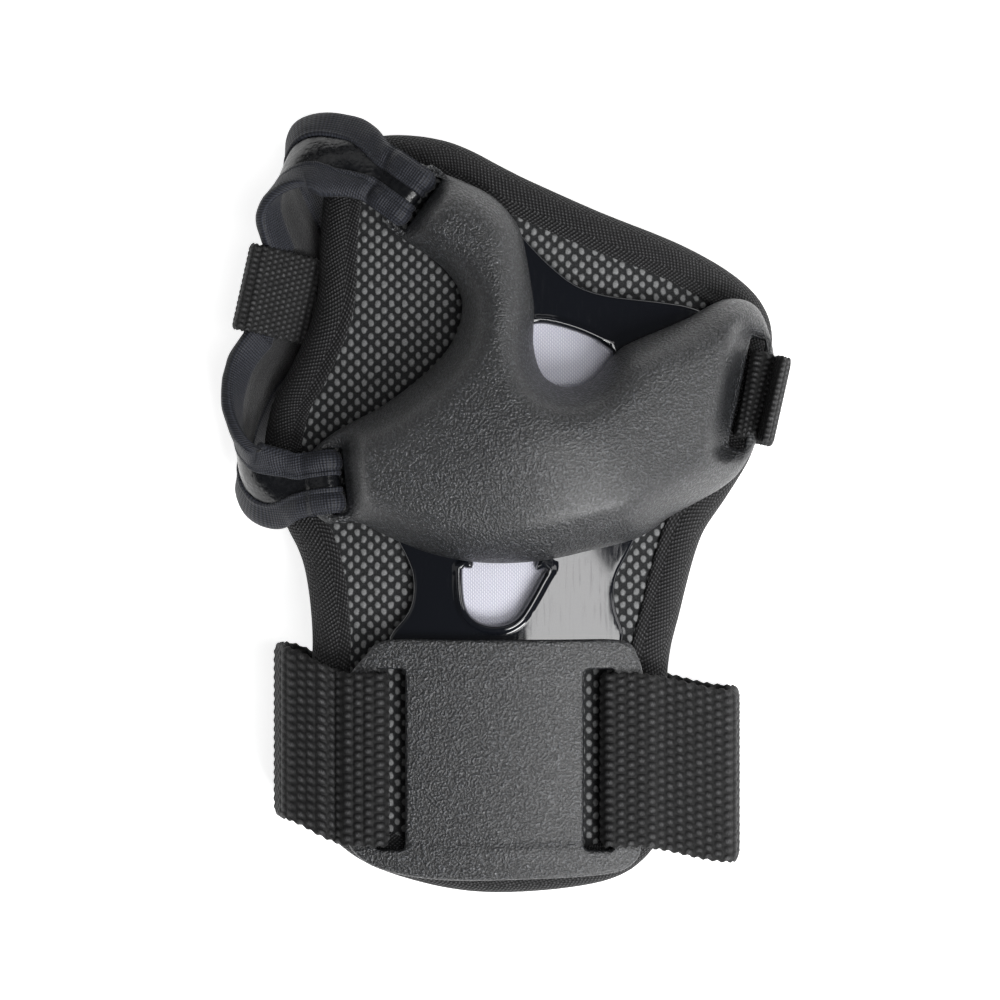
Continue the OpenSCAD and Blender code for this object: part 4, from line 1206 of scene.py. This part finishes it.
# the stage is in metres
viewLook = {"height": 0.92, "width": 0.2300, "centre": (-0.0008, 0.0), "planeHeight": 0.020}
camera = bpy.data.cameras.new("overhead")
cameraObject = bpy.data.objects.new("overhead", camera)
bpy.context.collection.objects.link(cameraObject)
camera.lens_unit = "MILLIMETERS"
camera.sensor_width = 36.0
camera.lens = camera.sensor_width * (viewLook["height"] - viewLook["planeHeight"]) / viewLook["width"]
cameraObject.location = (viewLook["centre"][0], viewLook["centre"][1], viewLook["height"])
camera.clip_start = 0.01
bpy.context.scene.camera = cameraObject


def softbox(name, place, size, power):
    # a lamp aimed at the guard's middle
    lamp = bpy.data.lights.new(name, "AREA")
    lamp.shape = "RECTANGLE"
    lamp.size, lamp.size_y = size
    lamp.energy = power
    obj = bpy.data.objects.new(name, lamp)
    bpy.context.collection.objects.link(obj)
    obj.location = place
    aim = np.array((0, 0, viewLook["planeHeight"])) - np.array(place)
    obj.rotation_euler = Vector(aim).to_track_quat("-Z", "Y").to_euler()


# each lamp's place, size and power
lampLook = {
    "lamp_over": ((0.38, -0.12, 1.15), (0.34, 0.62), 4.6),
    "lamp_wrist": ((0.42, -0.62, 0.80), (0.45, 0.45), 11.0),
    "lamp_left": ((-0.80, 0.16, 0.60), (0.40, 0.80), 0.3),
    "lamp_fingers": ((-0.10, 0.85, 0.60), (0.8, 0.35), 0.5),
    "lamp_right": ((0.85, 0.20, 0.45), (0.35, 0.70), 1.6),
}
for lampName, lampValues in lampLook.items():
    softbox(lampName, *lampValues)

tableLook = {"colour": (0.80, 0.80, 0.80), "shown": 0.84, "size": 3.0, "below": 0.0002, "world": 0.05}


def whiteTable():
    material = bpy.data.materials.new("white_table")
    material.use_nodes = True
    tree = material.node_tree
    shader = tree.nodes["Principled BSDF"]
    shader.inputs["Base Color"].default_value = (*tableLook["colour"], 1)
    shader.inputs["Roughness"].default_value = 0.9
    shader.inputs["Specular IOR Level"].default_value = 0.0
    # its plain tone shows to the camera and in what reflects it, and it lights nothing
    path = tree.nodes.new("ShaderNodeLightPath")
    seen = path.outputs["Is Camera Ray"]
    for kind in ("Is Glossy Ray", "Is Transmission Ray"):
        either = tree.nodes.new("ShaderNodeMath")
        either.operation = "MAXIMUM"
        tree.links.new(seen, either.inputs[0])
        tree.links.new(path.outputs[kind], either.inputs[1])
        seen = either.outputs[0]
    strength = tree.nodes.new("ShaderNodeMath")
    strength.operation = "MULTIPLY"
    tree.links.new(seen, strength.inputs[0])
    strength.inputs[1].default_value = tableLook["shown"]
    shader.inputs["Emission Color"].default_value = (1, 1, 1, 1)
    tree.links.new(strength.outputs[0], shader.inputs["Emission Strength"])
    return material


def makeTable():
    size = tableLook["size"]
    corner = [(-size, -size, 0), (size, -size, 0), (size, size, 0), (-size, size, 0)]
    mesh = bpy.data.meshes.new("table")
    mesh.from_pydata(corner, [], [(0, 1, 2, 3)])
    obj = bpy.data.objects.new("table", mesh)
    bpy.context.collection.objects.link(obj)
    obj.data.materials.append(whiteTable())
    obj.location.z = -tableLook["below"]


makeTable()
world = bpy.data.worlds.new("studio")
bpy.context.scene.world = world
world.use_nodes = True
background = world.node_tree.nodes["Background"]
background.inputs["Color"].default_value = (1, 1, 1, 1)
background.inputs["Strength"].default_value = tableLook["world"]
bpy.context.scene.view_settings.view_transform = "Standard"

print("scene ready")
